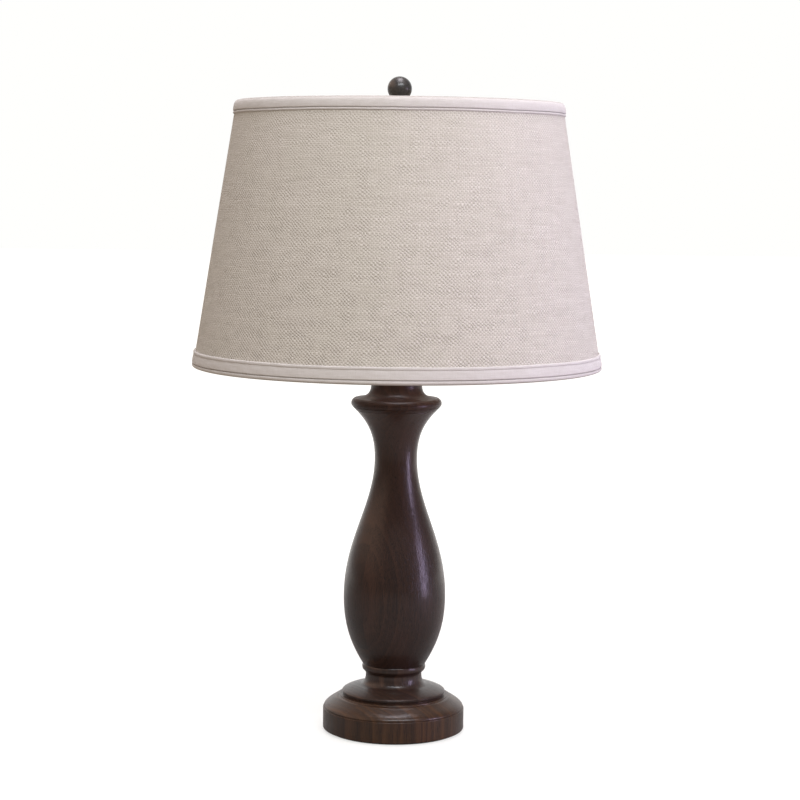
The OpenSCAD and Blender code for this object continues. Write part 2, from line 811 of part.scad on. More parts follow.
// Moulded inner body with a bore for the switch shaft and flats for the terminals
module socket_body() {
    color(bakelite) difference() {
        union() {
            translate([0, 0, body_z]) cylinder(h = body_neck_height, r = body_neck_radius);
            translate([0, 0, body_z + body_neck_height])
                cylinder(h = socket_body_height - body_neck_height, r = socket_body_radius);
        }
        translate([0, 0, switch_z]) rotate([90, 0, 0]) translate([0, 0, socket_body_radius - switch_depth])
            cylinder(h = switch_depth + over, r = switch_shaft_radius + running_clearance);
        for (side = [-1, 1])
            translate([side * (terminal_flat + terminal_cut / 2), 0, terminal_z])
                cube([terminal_cut, terminal_width, body_neck_height + 2 * over], center = true);
    }
}

// Screw shell with an inward flange that seats on the inner body
module screw_shell() {
    color(brass) difference() {
        translate([0, 0, body_top_z]) cylinder(h = screw_shell_height, r = screw_shell_bore + screw_shell_sheet);
        translate([0, 0, body_top_z + screw_shell_sheet]) cylinder(h = screw_shell_height, r = screw_shell_bore);
        translate([0, 0, body_top_z - eps]) cylinder(h = over, r = screw_shell_hole);
    }
}

module centre_contact() {
    color(brass) union() {
        translate([0, 0, body_top_z]) cylinder(h = contact_sheet, r = contact_radius);
        translate([0, 0, body_top_z]) cylinder(h = contact_height, r = contact_tongue_radius);
    }
}

// One screw on each side of the inner body's neck
module terminal_screws() {
    color(nickel) for (side = [-1, 1])
        translate([side * terminal_flat, 0, terminal_z]) rotate([0, side * 90, 0]) difference() {
            cylinder(h = terminal_screw_height, r = terminal_screw_radius);
            driver_slot(terminal_screw_height, terminal_slot, terminal_screw_radius);
        }
}

module switch_shaft() {
    color(steel) translate([0, 0, switch_z]) rotate([90, 0, 0])
        translate([0, 0, socket_body_radius - switch_depth + seat_clearance])
        cylinder(h = knob_y + knob_length / 2 - socket_body_radius + switch_depth - seat_clearance,
                 r = switch_shaft_radius);
}

// Turn knob: round collar and a flat grip with a rounded end
module switch_knob() {
    color(bakelite) translate([0, 0, switch_z]) rotate([90, 0, 0]) translate([0, 0, knob_y]) difference() {
        union() {
            cylinder(h = knob_collar, r = knob_radius);
            intersection() {
                translate([0, 0, knob_collar / 3]) cylinder(h = knob_length - knob_collar / 3, r = knob_radius);
                translate([-knob_radius, -knob_grip / 2, 0]) cube([2 * knob_radius, knob_grip, knob_length]);
            }
        }
        translate([0, 0, -eps]) cylinder(h = knob_length / 2 + 2 * eps, r = switch_shaft_radius);
    }
}

// Glass globe: neck inside the screw cap, pear-shaped flank, round top
globe_neck_pull = [1, 12];
globe_join_pull = 12;
globe_arc_step = 8;
function globe_join(wall) =
    [0, globe_z] + (bulb_radius - wall) * [cos(globe_join_angle), sin(globe_join_angle)];
function globe_outline(wall) = concat(
    [[0, globe_neck_z + wall], [globe_neck_radius - wall, globe_neck_z + wall]],
    bezier([globe_neck_radius - wall, bulb_cap_top_z + seat_clearance],
           [globe_neck_radius - wall, bulb_cap_top_z] + globe_neck_pull,
           globe_join(wall) - globe_join_pull * [-sin(globe_join_angle), cos(globe_join_angle)],
           globe_join(wall), 10),
    arc(0, globe_z, bulb_radius - wall, globe_join_angle + globe_arc_step, 90, 14));

module bulb_globe() {
    color(glass_white) difference() {
        turned(globe_outline(0));
        turned(globe_outline(bulb_glass));
    }
}

module bulb_stem() {
    color("white") union() {
        translate([0, 0, globe_neck_z + bulb_glass])
            cylinder(h = stem_flare, r = globe_neck_radius - bulb_glass - fold_clearance);
        translate([0, 0, globe_neck_z + bulb_glass])
            cylinder(h = stem_top_z - globe_neck_z - bulb_glass, r = stem_radius);
    }
}

// Open ring of filament on two upright leads
lead_angle = filament_gap_angle / 2;
lead_foot_radius = 1.5;
lead_tilt = atan2(filament_radius - lead_foot_radius, filament_z - stem_top_z);
lead_foot_z = stem_top_z + filament_wire * sin(lead_tilt) + running_clearance;
lead_bead_share = 1.3;
module bulb_filament() {
    color(steel) union() {
        translate([0, 0, filament_z]) rotate([0, 0, lead_angle])
            rotate_extrude(angle = 360 - filament_gap_angle, $fn = 48)
            translate([filament_radius, 0])
            circle(r = filament_wire, $fn = 16);
        for (side = [-1, 1])
            rotate([0, 0, side * lead_angle]) {
                bar([lead_foot_radius, lead_foot_z], [filament_radius, filament_z], filament_wire);
                translate([filament_radius, 0, filament_z]) sphere(r = lead_bead_share * filament_wire, $fn = 24);
            }
    }
}

module bulb_cap() {
    color(nickel) difference() {
        turned([
            [0, bulb_cap_z],
            [insulator_top_radius, bulb_cap_z],
            [bulb_cap_radius, bulb_cap_z + bulb_cap_cone],
            [bulb_cap_radius, bulb_cap_top_z],
            [0, bulb_cap_top_z]]);
        turned([
            [0, bulb_cap_z - eps],
            [insulator_top_radius - bulb_cap_sheet, bulb_cap_z - eps],
            [bulb_cap_radius - bulb_cap_sheet, bulb_cap_z + bulb_cap_cone],
            [bulb_cap_radius - bulb_cap_sheet, bulb_cap_top_z + eps],
            [0, bulb_cap_top_z + eps]]);
    }
}

module bulb_insulator() {
    color("black") turned([
        [0, insulator_z],
        [insulator_radius, insulator_z],
        [insulator_top_radius, bulb_cap_z],
        [0, bulb_cap_z]]);
}

module bulb_contact() {
    color(nickel) turned(concat(
        [[0, tip_z], [tip_flat_radius, tip_z]],
        arc(tip_radius - tip_height, insulator_z, tip_height, tip_from, 0, 4),
        [[0, insulator_z]]));
}

// Saddle: a strip bent up at both ends, wide round the pipe and narrowed to a tab on each ear
saddle_bend = 2;
saddle_outer = saddle_half_width + saddle_sheet / 2;
saddle_outer_bend = saddle_bend + saddle_sheet;
saddle_rise = tab_top_z - saddle_z;
saddle_wide_half = 14;
module saddle_section() {
    quarter = 2 * saddle_outer_bend;
    translate([-saddle_outer + saddle_outer_bend, 0])
        square([2 * (saddle_outer - saddle_outer_bend), saddle_sheet]);
    for (side = [-1, 1]) {
        translate([side * saddle_half_width - saddle_sheet / 2, saddle_outer_bend])
            square([saddle_sheet, saddle_rise - saddle_outer_bend]);
        translate([side * (saddle_outer - saddle_outer_bend), saddle_outer_bend]) intersection() {
            difference() {
                circle(r = saddle_outer_bend);
                circle(r = saddle_bend);
            }
            translate([side > 0 ? 0 : -quarter, -quarter]) square(quarter);
        }
    }
}

// Two blocks, in front and behind, that leave a strip of the given width between them
module strip_cuts(width, from, length, z, height) {
    for (side = [-1, 1])
        translate([from, side > 0 ? width / 2 : -width / 2 - saddle_middle_width, z])
            cube([length, saddle_middle_width, height]);
}

module harp_saddle() {
    color(brass) difference() {
        translate([0, saddle_middle_width / 2, saddle_z]) rotate([90, 0, 0])
            linear_extrude(height = saddle_middle_width) saddle_section();
        pipe_bore(saddle_z, saddle_z + saddle_sheet);
        for (from = [saddle_wide_half, -saddle_wide_half - saddle_half_width])
            strip_cuts(saddle_ear_width, from, saddle_half_width, saddle_z - over, saddle_rise);
        strip_cuts(tab_width, -2 * saddle_half_width, 4 * saddle_half_width, shoulder_z, tab_height + over);
    }
}

// Harp: slotted feet, a wire that swells out round the bulb, and an eye for the swivel
module harp_leg(side) {
    mirror([side < 0 ? 1 : 0, 0, 0]) {
        difference() {
            translate([saddle_half_width, 0, harp_foot_z])
                cylinder(h = harp_foot_top_z - harp_foot_z, r = harp_foot_radius);
            translate([saddle_half_width - slot_half, -harp_foot_radius - over, harp_foot_z - over])
                cube([2 * slot_half, 2 * (harp_foot_radius + over), slot_top_z - harp_foot_z + over]);
        }
        bar([saddle_half_width, harp_foot_top_z - 0.5], [saddle_half_width, lower_bend_z], harp_wire_radius);
        knuckle([saddle_half_width, lower_bend_z], harp_wire_radius);
        bent_bar([saddle_half_width + harp_bend_radius, lower_bend_z], harp_bend_radius,
                 180 - bend_angle, 180, harp_wire_radius);
        knuckle([(saddle_half_width + harp_half_width) / 2, lower_bend_z + bend_rise / 2], harp_wire_radius);
        bent_bar([harp_half_width - harp_bend_radius, upper_bend_z], harp_bend_radius,
                 -bend_angle, 0, harp_wire_radius);
        knuckle([harp_half_width, upper_bend_z], harp_wire_radius);
        bar([harp_half_width, upper_bend_z], [harp_half_width, arch_z], harp_wire_radius);
        knuckle([harp_half_width, arch_z], harp_wire_radius);
        bent_bar([eye_entry, arch_z], arch_radius, 0, 90, harp_wire_radius);
    }
}

module harp_bow() {
    color(brass) difference() {
        union() {
            harp_leg(-1);
            harp_leg(1);
            translate([0, 0, eye_z]) cylinder(h = eye_thickness, r = eye_radius);
        }
        translate([0, 0, eye_z - over])
            cylinder(h = eye_thickness + 2 * over, r = swivel_shank_radius + running_clearance);
    }
}

module harp_sleeve(side) {
    color(brass) translate([side * saddle_half_width, 0, 0]) difference() {
        translate([0, 0, harp_foot_z]) cylinder(h = sleeve_top_z - harp_foot_z, r = sleeve_radius);
        translate([0, 0, harp_foot_z - eps]) cylinder(h = sleeve_lid_z - harp_foot_z + eps, r = sleeve_bore);
        translate([0, 0, harp_foot_z]) cylinder(h = sleeve_top_z - harp_foot_z + over, r = sleeve_wire_hole);
    }
}

module harp_sleeve_left() {
    harp_sleeve(-1);
}

module harp_sleeve_right() {
    harp_sleeve(1);
}

// Swivel: rivet head under the eye, shank, flange, and the threaded post for the shade
module swivel_stud() {
    color(brass) union() {
        translate([0, 0, eye_z - seat_clearance / 3 - rivet_head])
            cylinder(h = rivet_head, r = rivet_head_radius);
        translate([0, 0, eye_z - over]) cylinder(h = eye_thickness + 2 * over, r = swivel_shank_radius);
        translate([0, 0, swivel_flange_z]) cylinder(h = swivel_flange, r = swivel_flange_radius);
        translate([0, 0, seat_z - eps]) cylinder(h = post_height + eps, r = post_radius);
    }
}

// Finial: base, waisted stem, small bead and ball
ball_join_angle = -66;
ball_arc_step = 6;
finial_fillet = 0.6;
stem_pull_low = 1.5;
stem_pull_high = 3;
module finial() {
    color(bronze) difference() {
        turned(concat(
            [[0, finial_z], [finial_base_radius, finial_z]],
            [[finial_base_radius, finial_z + finial_base_height]],
            bezier([finial_base_radius - finial_fillet, finial_z + finial_base_height],
                   [finial_stem_radius, finial_z + finial_base_height + stem_pull_low],
                   [finial_stem_radius, ball_z - finial_radius - stem_pull_high],
                   [finial_radius * cos(ball_join_angle), ball_z + finial_radius * sin(ball_join_angle)], 8),
            arc(0, ball_z, finial_radius, ball_join_angle + ball_arc_step, 90, 26)));
        translate([0, 0, finial_z - eps])
            cylinder(h = finial_bore_top_z - finial_z + eps, r = finial_bore_radius);
    }
}

// Spider hub with a blind hole for each arm
module spider_hub() {
    color(nickel) difference() {
        translate([0, 0, hub_z]) cylinder(h = hub_thickness, r = hub_radius);
        translate([0, 0, hub_z - eps]) cylinder(h = hub_thickness + 2 * eps, r = hub_hole_radius);
        for (a = arm_angles)
            rotate([0, 0, a]) translate([arm_start - fold_clearance, 0, hub_mid_z]) rotate([0, 90, 0])
                cylinder(h = hub_radius, r = arm_radius + running_clearance);
    }
}

// Arm: level out of the hub, then up to the top ring
module spider_arm(angle) {
    color(nickel) rotate([0, 0, angle]) union() {
        bar([arm_start, hub_mid_z], [arm_bend_radius, hub_mid_z], arm_radius);
        knuckle([arm_bend_radius, hub_mid_z], arm_radius);
        bar([arm_bend_radius, hub_mid_z], [arm_level, ring_z], arm_radius);
        knuckle([arm_level, ring_z], arm_radius);
        bar([arm_level, ring_z], [arm_end, ring_z], arm_radius);
    }
}

module spider_arm_1() {
    spider_arm(arm_angles[0]);
}

module spider_arm_2() {
    spider_arm(arm_angles[1]);
}

module spider_arm_3() {
    spider_arm(arm_angles[2]);
}

module ring_wire(s) {
    color(nickel) rotate_extrude() translate(wall_point(s, ring_offset)) circle(r = ring_wire_radius, $fn = 24);
}

module top_ring() {
    ring_wire(slope_length - ring_inset);
}

module bottom_ring() {
    ring_wire(ring_inset);
}

// Band of the shade between two distances along the slope and two offsets square to it
module wall_band(s0, s1, n0, n1) {
    turned([wall_point(s0, n0), wall_point(s0, n1), wall_point(s1, n1), wall_point(s1, n0)]);
}

module shade_liner() {
    color(liner_white)
        wall_band(trim_fold_thickness, slope_length - trim_fold_thickness, -wall_thickness, -fabric_thickness);
}

module shade_fabric() {
    color(oatmeal)
        wall_band(trim_fold_thickness, slope_length - trim_fold_thickness, -fabric_thickness, 0);
}

// Trim tape folded over a rim and round its ring wire.
// start is the rim's distance along the slope, dir is 1 going up from it and -1 going down.
function trim_outline(start, dir, height) = [for (p = [
    [tape_round, trim_thickness],
    [0, trim_thickness - tape_round],
    [0, fold_inside],
    [tape_round, fold_inside - trim_fold_thickness],
    [fold_turn, fold_inside - trim_fold_thickness],
    [fold_back, -wall_thickness - trim_fold_thickness],
    [trim_inside_height, -wall_thickness - trim_fold_thickness],
    [trim_inside_height, -wall_thickness],
    [fold_back, -wall_thickness],
    [fold_turn, fold_inside],
    [trim_fold_thickness, fold_inside],
    [trim_fold_thickness, 0],
    [height, 0],
    [height, trim_thickness - tape_hem_round],
    [height - tape_hem_round, trim_thickness]])
    wall_point(start + dir * p[0], p[1])];

module top_trim() {
    color(tape_white) difference() {
        turned(trim_outline(slope_length, -1, top_trim_height));
        for (a = arm_angles)
            rotate([0, 0, a]) translate([arm_level, 0, ring_z]) rotate([0, 90, 0])
                cylinder(h = arm_level_length, r = arm_radius + seat_clearance);
    }
}

module bottom_trim() {
    color(tape_white) turned(trim_outline(0, 1, bottom_trim_height));
}

foot();
dome_ring();
column();
collar_neck();
felt_pad();
cord_bushing();
lamp_pipe();
base_washer();
base_spring_washer();
base_nut();
vase_cap();
neck_spacer();
neck_nut();
socket_cap();
socket_set_screw();
socket_shell();
socket_liner();
socket_body();
screw_shell();
centre_contact();
terminal_screws();
switch_shaft();
switch_knob();
bulb_globe();
bulb_stem();
bulb_filament();
bulb_cap();
bulb_insulator();
bulb_contact();
harp_saddle();
harp_bow();
harp_sleeve_left();
harp_sleeve_right();
swivel_stud();
finial();
spider_hub();
spider_arm_1();
spider_arm_2();
spider_arm_3();
top_ring();
bottom_ring();
shade_liner();
shade_fabric();
top_trim();
bottom_trim();
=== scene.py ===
"""Looks for the turned wood table lamp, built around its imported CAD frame. Metres, +Z up."""

import json
import math

import bpy
import numpy as np
from mathutils import Matrix, Vector


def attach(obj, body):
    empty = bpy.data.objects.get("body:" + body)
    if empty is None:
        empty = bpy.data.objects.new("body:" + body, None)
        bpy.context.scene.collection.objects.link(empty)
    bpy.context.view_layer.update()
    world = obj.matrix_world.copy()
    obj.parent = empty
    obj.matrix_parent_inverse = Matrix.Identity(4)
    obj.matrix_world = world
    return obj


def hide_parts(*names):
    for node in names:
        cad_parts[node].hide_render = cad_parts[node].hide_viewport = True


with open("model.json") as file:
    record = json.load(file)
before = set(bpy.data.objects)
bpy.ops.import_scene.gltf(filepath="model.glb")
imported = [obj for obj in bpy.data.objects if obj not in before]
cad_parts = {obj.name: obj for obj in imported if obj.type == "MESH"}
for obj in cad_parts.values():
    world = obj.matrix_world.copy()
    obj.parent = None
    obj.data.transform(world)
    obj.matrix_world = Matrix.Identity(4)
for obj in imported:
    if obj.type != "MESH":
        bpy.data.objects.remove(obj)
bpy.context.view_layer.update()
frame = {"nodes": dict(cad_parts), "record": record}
nodes = frame["nodes"]
scene = bpy.context.scene
MM = 0.001

# ------------------------------------------------------------------ camera
# fitted to the ellipses of the shade's two rims and of the foot
IMAGE_PX, FOCAL_PX, SHIFT_PX = 800, 2154, 3.5
SENSOR = 36
CAMERA_AT, CAMERA_DOWN, CAMERA_ROLL = (0, -2.130, 0.5461), 0.1, 0.0105
camera_data = bpy.data.cameras.new("camera")
camera_data.sensor_width = SENSOR
camera_data.lens = SENSOR * FOCAL_PX / IMAGE_PX
camera_data.shift_x = SHIFT_PX / IMAGE_PX
camera = bpy.data.objects.new("camera", camera_data)
scene.collection.objects.link(camera)
camera.matrix_world = (
    Matrix.Translation(CAMERA_AT)
    @ Matrix.Rotation(math.pi / 2 - CAMERA_DOWN, 4, "X")
    @ Matrix.Rotation(CAMERA_ROLL, 4, "Z")
)
scene.camera = camera
scene.view_settings.view_transform = "Standard"

# ------------------------------------------------------------------ sizes from the CAD, in mm
# foot, dome ring and their joints: a piece's _Z is the height at which it starts or stands
FELT, FELT_R, FOOT_R, SIDE_H, BROW_R, LEDGE_Z, LEDGE_R = 1.5, 67.0, 70.8, 21.9, 57.6, 35.6, 53.7
BORE_R, TENON_R, SOCKET_R, TENON_L, SOCKET_L = 5.39, 14.0, 14.1, 9.0, 9.3
POCKET_R, POCKET_Z = 24.0, 14.5
INLET_Z, INLET_R, SPOT_R, SPOT_Y = 9.5, 5.0, 6.8, 69.6
DOME_R, DOME_H, COVE_R, COVE_H = 51.1, 10.2, 27.9, 19.9
BEAD_R, BEAD_H, BEAD_ROUND, BEAD_LOW, BEAD_HIGH = 25.65, 28.5, 6.0, -22, 26
# column, collar and neck
BEAD_Z, COLUMN_R, BELLY_R, BELLY_H, WAIST_R, WAIST_H = 67.2, 31.2, 50.9, 68.6, 21.2, 207.3
COLLAR_Z, LIP_R, EDGE_R, EDGE_ROUND, EDGE_LOW, EDGE_HIGH = 324.3, 41.9, 39.7, 5.3, -19, 58
NECK_R, NECK_TOP = 25.4, 369.5
# shade: radii at the bottom and top of the cloth, height and where it starts
SHADE_RB, SHADE_RT, SHADE_H, SHADE_Z = 201.4, 159.6, 260.0, 365.963
TAPER = math.atan((SHADE_RB - SHADE_RT) / SHADE_H)
SLOPE = SHADE_H / math.cos(TAPER)
APEX = SHADE_RB / math.sin(TAPER)
WALL, FABRIC, LAP_LENGTH = 1.4, 0.8, 13
# stud, finial, bulb and its holder
SEAT_Z, EYE_Z, STUD_R, STUD_H, STUD_PITCH = 608.2, 601.5, 3.17, 16.5, 0.94
FINIAL_Z, BALL_Z, BALL_R = 613.4, 638.9, 12
GLOBE_Z, GLOBE_R, GLASS, GLOBE_FOOT_Z, GLOBE_FOOT_R = 499.5, 30.0, 0.8, 438.3, 12.5
CAP_Z, CAP_TOP, CAP_R, CAP_WALL, BULB_PITCH = 426.3, 446.3, 13.1, 0.4, 3.63
SHELL_Z, SHELL_TOP, SHELL_R, SHELL_WALL, SHELL_HOLE = 419.0, 441.0, 13.8, 0.4, 6.5
SWITCH_Z, KNOB_Y = 412.7, 18.4


# ------------------------------------------------------------------ outlines
def bezier(a, b, c, d, n):
    """n + 1 points on the cubic curve from a to d."""
    t = np.linspace(0, 1, n + 1)[:, None]
    u = 1 - t
    a, b, c, d = (np.array(p, float) for p in (a, b, c, d))
    return u**3 * a + 3 * u * u * t * b + 3 * u * t * t * c + t**3 * d


def arc(x, z, r, start, end, n):
    """n + 1 points round (x, z), with the angles in degrees."""
    a = np.radians(np.linspace(start, end, n + 1))
    return np.stack([x + r * np.cos(a), z + r * np.sin(a)], 1)


def joined(*parts):
    """One run of points, without those that stand on the one before."""
    points = np.concatenate([np.atleast_2d(np.array(p, float)) for p in parts])
    keep = [0]
    for i in range(1, len(points)):
        if np.linalg.norm(points[i] - points[keep[-1]]) > 0.02:
            keep.append(i)
    return points[keep]


SHARP = 24  # degrees


def eased(points, radius, closed=True, steps=4):
    """The outline with each corner of more than SHARP rounded off."""
    out, n = [], len(points)
    for i, p in enumerate(points):
        if not closed and i in (0, n - 1):
            out.append(p)
            continue
        before, after = p - points[i - 1], points[(i + 1) % n] - p
        lb, la = np.linalg.norm(before), np.linalg.norm(after)
        turn = math.acos(float(np.clip(before @ after / (lb * la), -1, 1)))
        if math.degrees(turn) < SHARP:
            out.append(p)
            continue
        reach = min(radius * math.tan(turn / 2), 0.45 * lb, 0.45 * la)
        first, last = p - before / lb * reach, p + after / la * reach
        for k in range(steps + 1):
            t = k / steps
            out.append((1 - t) ** 2 * first + 2 * t * (1 - t) * p + t * t * last)
    return np.array(out)


def spaced(points, step, closed=True):
    """The outline with its long stretches cut into equal steps."""
    out, n = [], len(points)
    for i in range(n if closed else n - 1):
        a, b = points[i], points[(i + 1) % n]
        cuts = max(1, int(math.ceil(np.linalg.norm(b - a) / step)))
        out += [a + (b - a) * k / cuts for k in range(cuts)]
    return np.array(out if closed else out + [points[-1]])


# ------------------------------------------------------------------ meshes
def quads(nu, nv, wrap_u, wrap_v):
    """Faces of a grid of nu columns of nv points, closed round where asked."""
    index = np.arange(nu * nv).reshape(nu, nv)
    iu = np.arange(nu if wrap_u else nu - 1)
    iv = np.arange(nv if wrap_v else nv - 1)
    ju, jv = (iu + 1) % nu, (iv + 1) % nv
    corners = [index[np.ix_(p, q)] for p, q in ((iu, iv), (ju, iv), (ju, jv), (iu, jv))]
    return np.stack(corners, -1).reshape(-1, 4).tolist()


def fans(columns, rows):
    """Triangles from the first and last ring of a closed grid to two points added after it."""
    last, out = columns * rows, []
    for i in range(columns):
        j = (i + 1) % columns
        out += [[last, j * rows, i * rows], [last + 1, i * rows + rows - 1, j * rows + rows - 1]]
    return out


def outward(verts, faces, every=1):
    """The faces, turned round if they look inwards. One in every so many is asked."""
    total = 0.0
    for f in faces[::every]:
        for k in range(1, len(f) - 1):
            total += np.dot(verts[f[0]], np.cross(verts[f[k]], verts[f[k + 1]]))
    return [f[::-1] for f in faces] if total < 0 else faces


def piece(name, verts, faces, body, material, flat=None, crease=35):
    """A mesh piece from points in millimetres, outward facing, that rides on a body."""
    verts = np.asarray(verts, float) * MM
    mesh = bpy.data.meshes.new(name)
    mesh.from_pydata(verts.tolist(), [], faces)
    mesh.update()
    mesh.polygons.foreach_set("use_smooth", [True] * len(mesh.polygons))
    mesh.set_sharp_from_angle(angle=math.radians(crease))
    if flat is not None:
        attribute = mesh.attributes.new("flat", "FLOAT_VECTOR", "POINT")
        attribute.data.foreach_set("vector", np.asarray(flat, np.float32).ravel())
    mesh.materials.append(material)
    obj = bpy.data.objects.new(name, mesh)
    scene.collection.objects.link(obj)
    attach(obj, body)
    return obj


def revolved(outline, segments, warp=None):
    """Points and faces of an outline of (radius, height) turned about Z.
    It is a closed loop, or it runs from the axis to the axis. warp(angle, points) moves them."""
    outline = np.asarray(outline, float)
    poles = outline[0, 0] < 1e-6 and outline[-1, 0] < 1e-6
    rim = outline[1:-1] if poles else outline
    angle = np.arange(segments) * 2 * math.pi / segments
    points = np.broadcast_to(rim[None], (segments, *rim.shape)).copy()
    if warp is not None:
        points = warp(angle[:, None], points)
    r, z = points[..., 0], points[..., 1]
    grid = np.stack([r * np.sin(angle)[:, None], -r * np.cos(angle)[:, None], z], -1)
    verts = grid.reshape(-1, 3)
    faces = quads(segments, len(rim), True, not poles)
    if poles:
        verts = np.vstack([verts, [[0, 0, outline[0, 1]], [0, 0, outline[-1, 1]]]])
        faces += fans(segments, len(rim))
    return verts, faces


def turned(name, outline, body, material, segments=256, warp=None, crease=35):
    """A piece turned from an outline, whose faces are turned round where it runs down the outside."""
    verts, faces = revolved(outline, segments, warp)
    area = np.sum(
        outline[:, 0] * np.roll(outline[:, 1], -1)
        - np.roll(outline[:, 0], -1) * outline[:, 1]
    )
    if area < 0:
        faces = [f[::-1] for f in faces]
    return piece(name, verts, faces, body, material, crease=crease)


# ------------------------------------------------------------------ materials
class Look:
    """A node material with one Principled shader, and short calls for its nodes."""

    def __init__(self, name, **sockets):
        self.material = bpy.data.materials.new(name)
        self.material.use_nodes = True
        self.tree = self.material.node_tree
        self.tree.nodes.clear()
        self.out = self.tree.nodes.new("ShaderNodeOutputMaterial")
        self.shader = self.tree.nodes.new("ShaderNodeBsdfPrincipled")
        self.join(self.out.inputs["Surface"], self.shader.outputs[0])
        for key, value in sockets.items():
            self.shader.inputs[key.replace("_", " ")].default_value = value

    def join(self, socket, value):
        if isinstance(value, bpy.types.NodeSocket):
            self.tree.links.new(value, socket)
        else:
            socket.default_value = value

    def to(self, key, value):
        self.join(self.shader.inputs[key], value)

    def math(self, op, a, b=0.0, c=0.0, clamp=False):
        node = self.tree.nodes.new("ShaderNodeMath")
        node.operation, node.use_clamp = op, clamp
        for socket, value in zip(node.inputs, (a, b, c)):
            self.join(socket, value)
        return node.outputs[0]

    def add(self, a, b):
        return self.math("ADD", a, b)

    def mul(self, a, b):
        return self.math("MULTIPLY", a, b)

    def scaled(self, value, low, high, to_low=0.0, to_high=1.0, smooth=False):
        """The value's range from low to high, mapped to another and held at its ends."""
        node = self.tree.nodes.new("ShaderNodeMapRange")
        node.interpolation_type = "SMOOTHSTEP" if smooth else "LINEAR"
        for socket, v in zip(node.inputs, (value, low, high, to_low, to_high)):
            self.join(socket, v)
        return node.outputs[0]

    def vector(self, x, y, z):
        node = self.tree.nodes.new("ShaderNodeCombineXYZ")
        for socket, value in zip(node.inputs, (x, y, z)):
            self.join(socket, value)
        return node.outputs[0]

    def parts(self, vector):
        node = self.tree.nodes.new("ShaderNodeSeparateXYZ")
        self.join(node.inputs[0], vector)
        return node.outputs

    def place(self):
        """The object's own coordinates, in millimetres."""
        node = self.tree.nodes.new("ShaderNodeTexCoord")
        x, y, z = self.parts(node.outputs["Object"])
        return self.mul(x, 1000), self.mul(y, 1000), self.mul(z, 1000)

    def flat(self):
        """Place on the cloth before it was bent, and how proud it is, in millimetres."""
        node = self.tree.nodes.new("ShaderNodeAttribute")
        node.attribute_name = "flat"
        return self.parts(node.outputs["Vector"])

    def noise(self, vector, scale, detail, rough=0.5):
        node = self.tree.nodes.new("ShaderNodeTexNoise")
        self.join(node.inputs["Vector"], vector)
        node.inputs["Scale"].default_value = scale
        node.inputs["Detail"].default_value = detail
        node.inputs["Roughness"].default_value = rough
        return node.outputs["Fac"]

    def random(self, vector):
        node = self.tree.nodes.new("ShaderNodeTexWhiteNoise")
        self.join(node.inputs["Vector"], vector)
        return node.outputs["Value"]

    def mix(self, factor, a, b):
        node = self.tree.nodes.new("ShaderNodeMix")
        node.data_type = "RGBA"
        self.join(node.inputs[0], factor)
        self.join(node.inputs[6], (*a, 1) if isinstance(a, tuple) else a)
        self.join(node.inputs[7], (*b, 1) if isinstance(b, tuple) else b)
        return node.outputs[2]

    def ramp(self, factor, stops):
        """A grey for a factor, from stops of (place, value)."""
        node = self.tree.nodes.new("ShaderNodeValToRGB")
        self.join(node.inputs[0], factor)
        band = node.color_ramp
        while len(band.elements) < len(stops):
            band.elements.new(0.5)
        for element, (at, value) in zip(band.elements, stops):
            element.position = at
            element.color = (value, value, value, 1)
        return node.outputs[0]

    def bump(self, height, distance, strength, under=None):
        """A normal from a height, where 1 stands for so many millimetres."""
        node = self.tree.nodes.new("ShaderNodeBump")
        node.inputs["Strength"].default_value = strength
        node.inputs["Distance"].default_value = distance * MM
        self.join(node.inputs["Height"], height)
        if under is not None:
            self.join(node.inputs["Normal"], under)
        return node.outputs[0]


STAVE, RING_PITCH, STREAK = 47.0, 5.0, 0.62


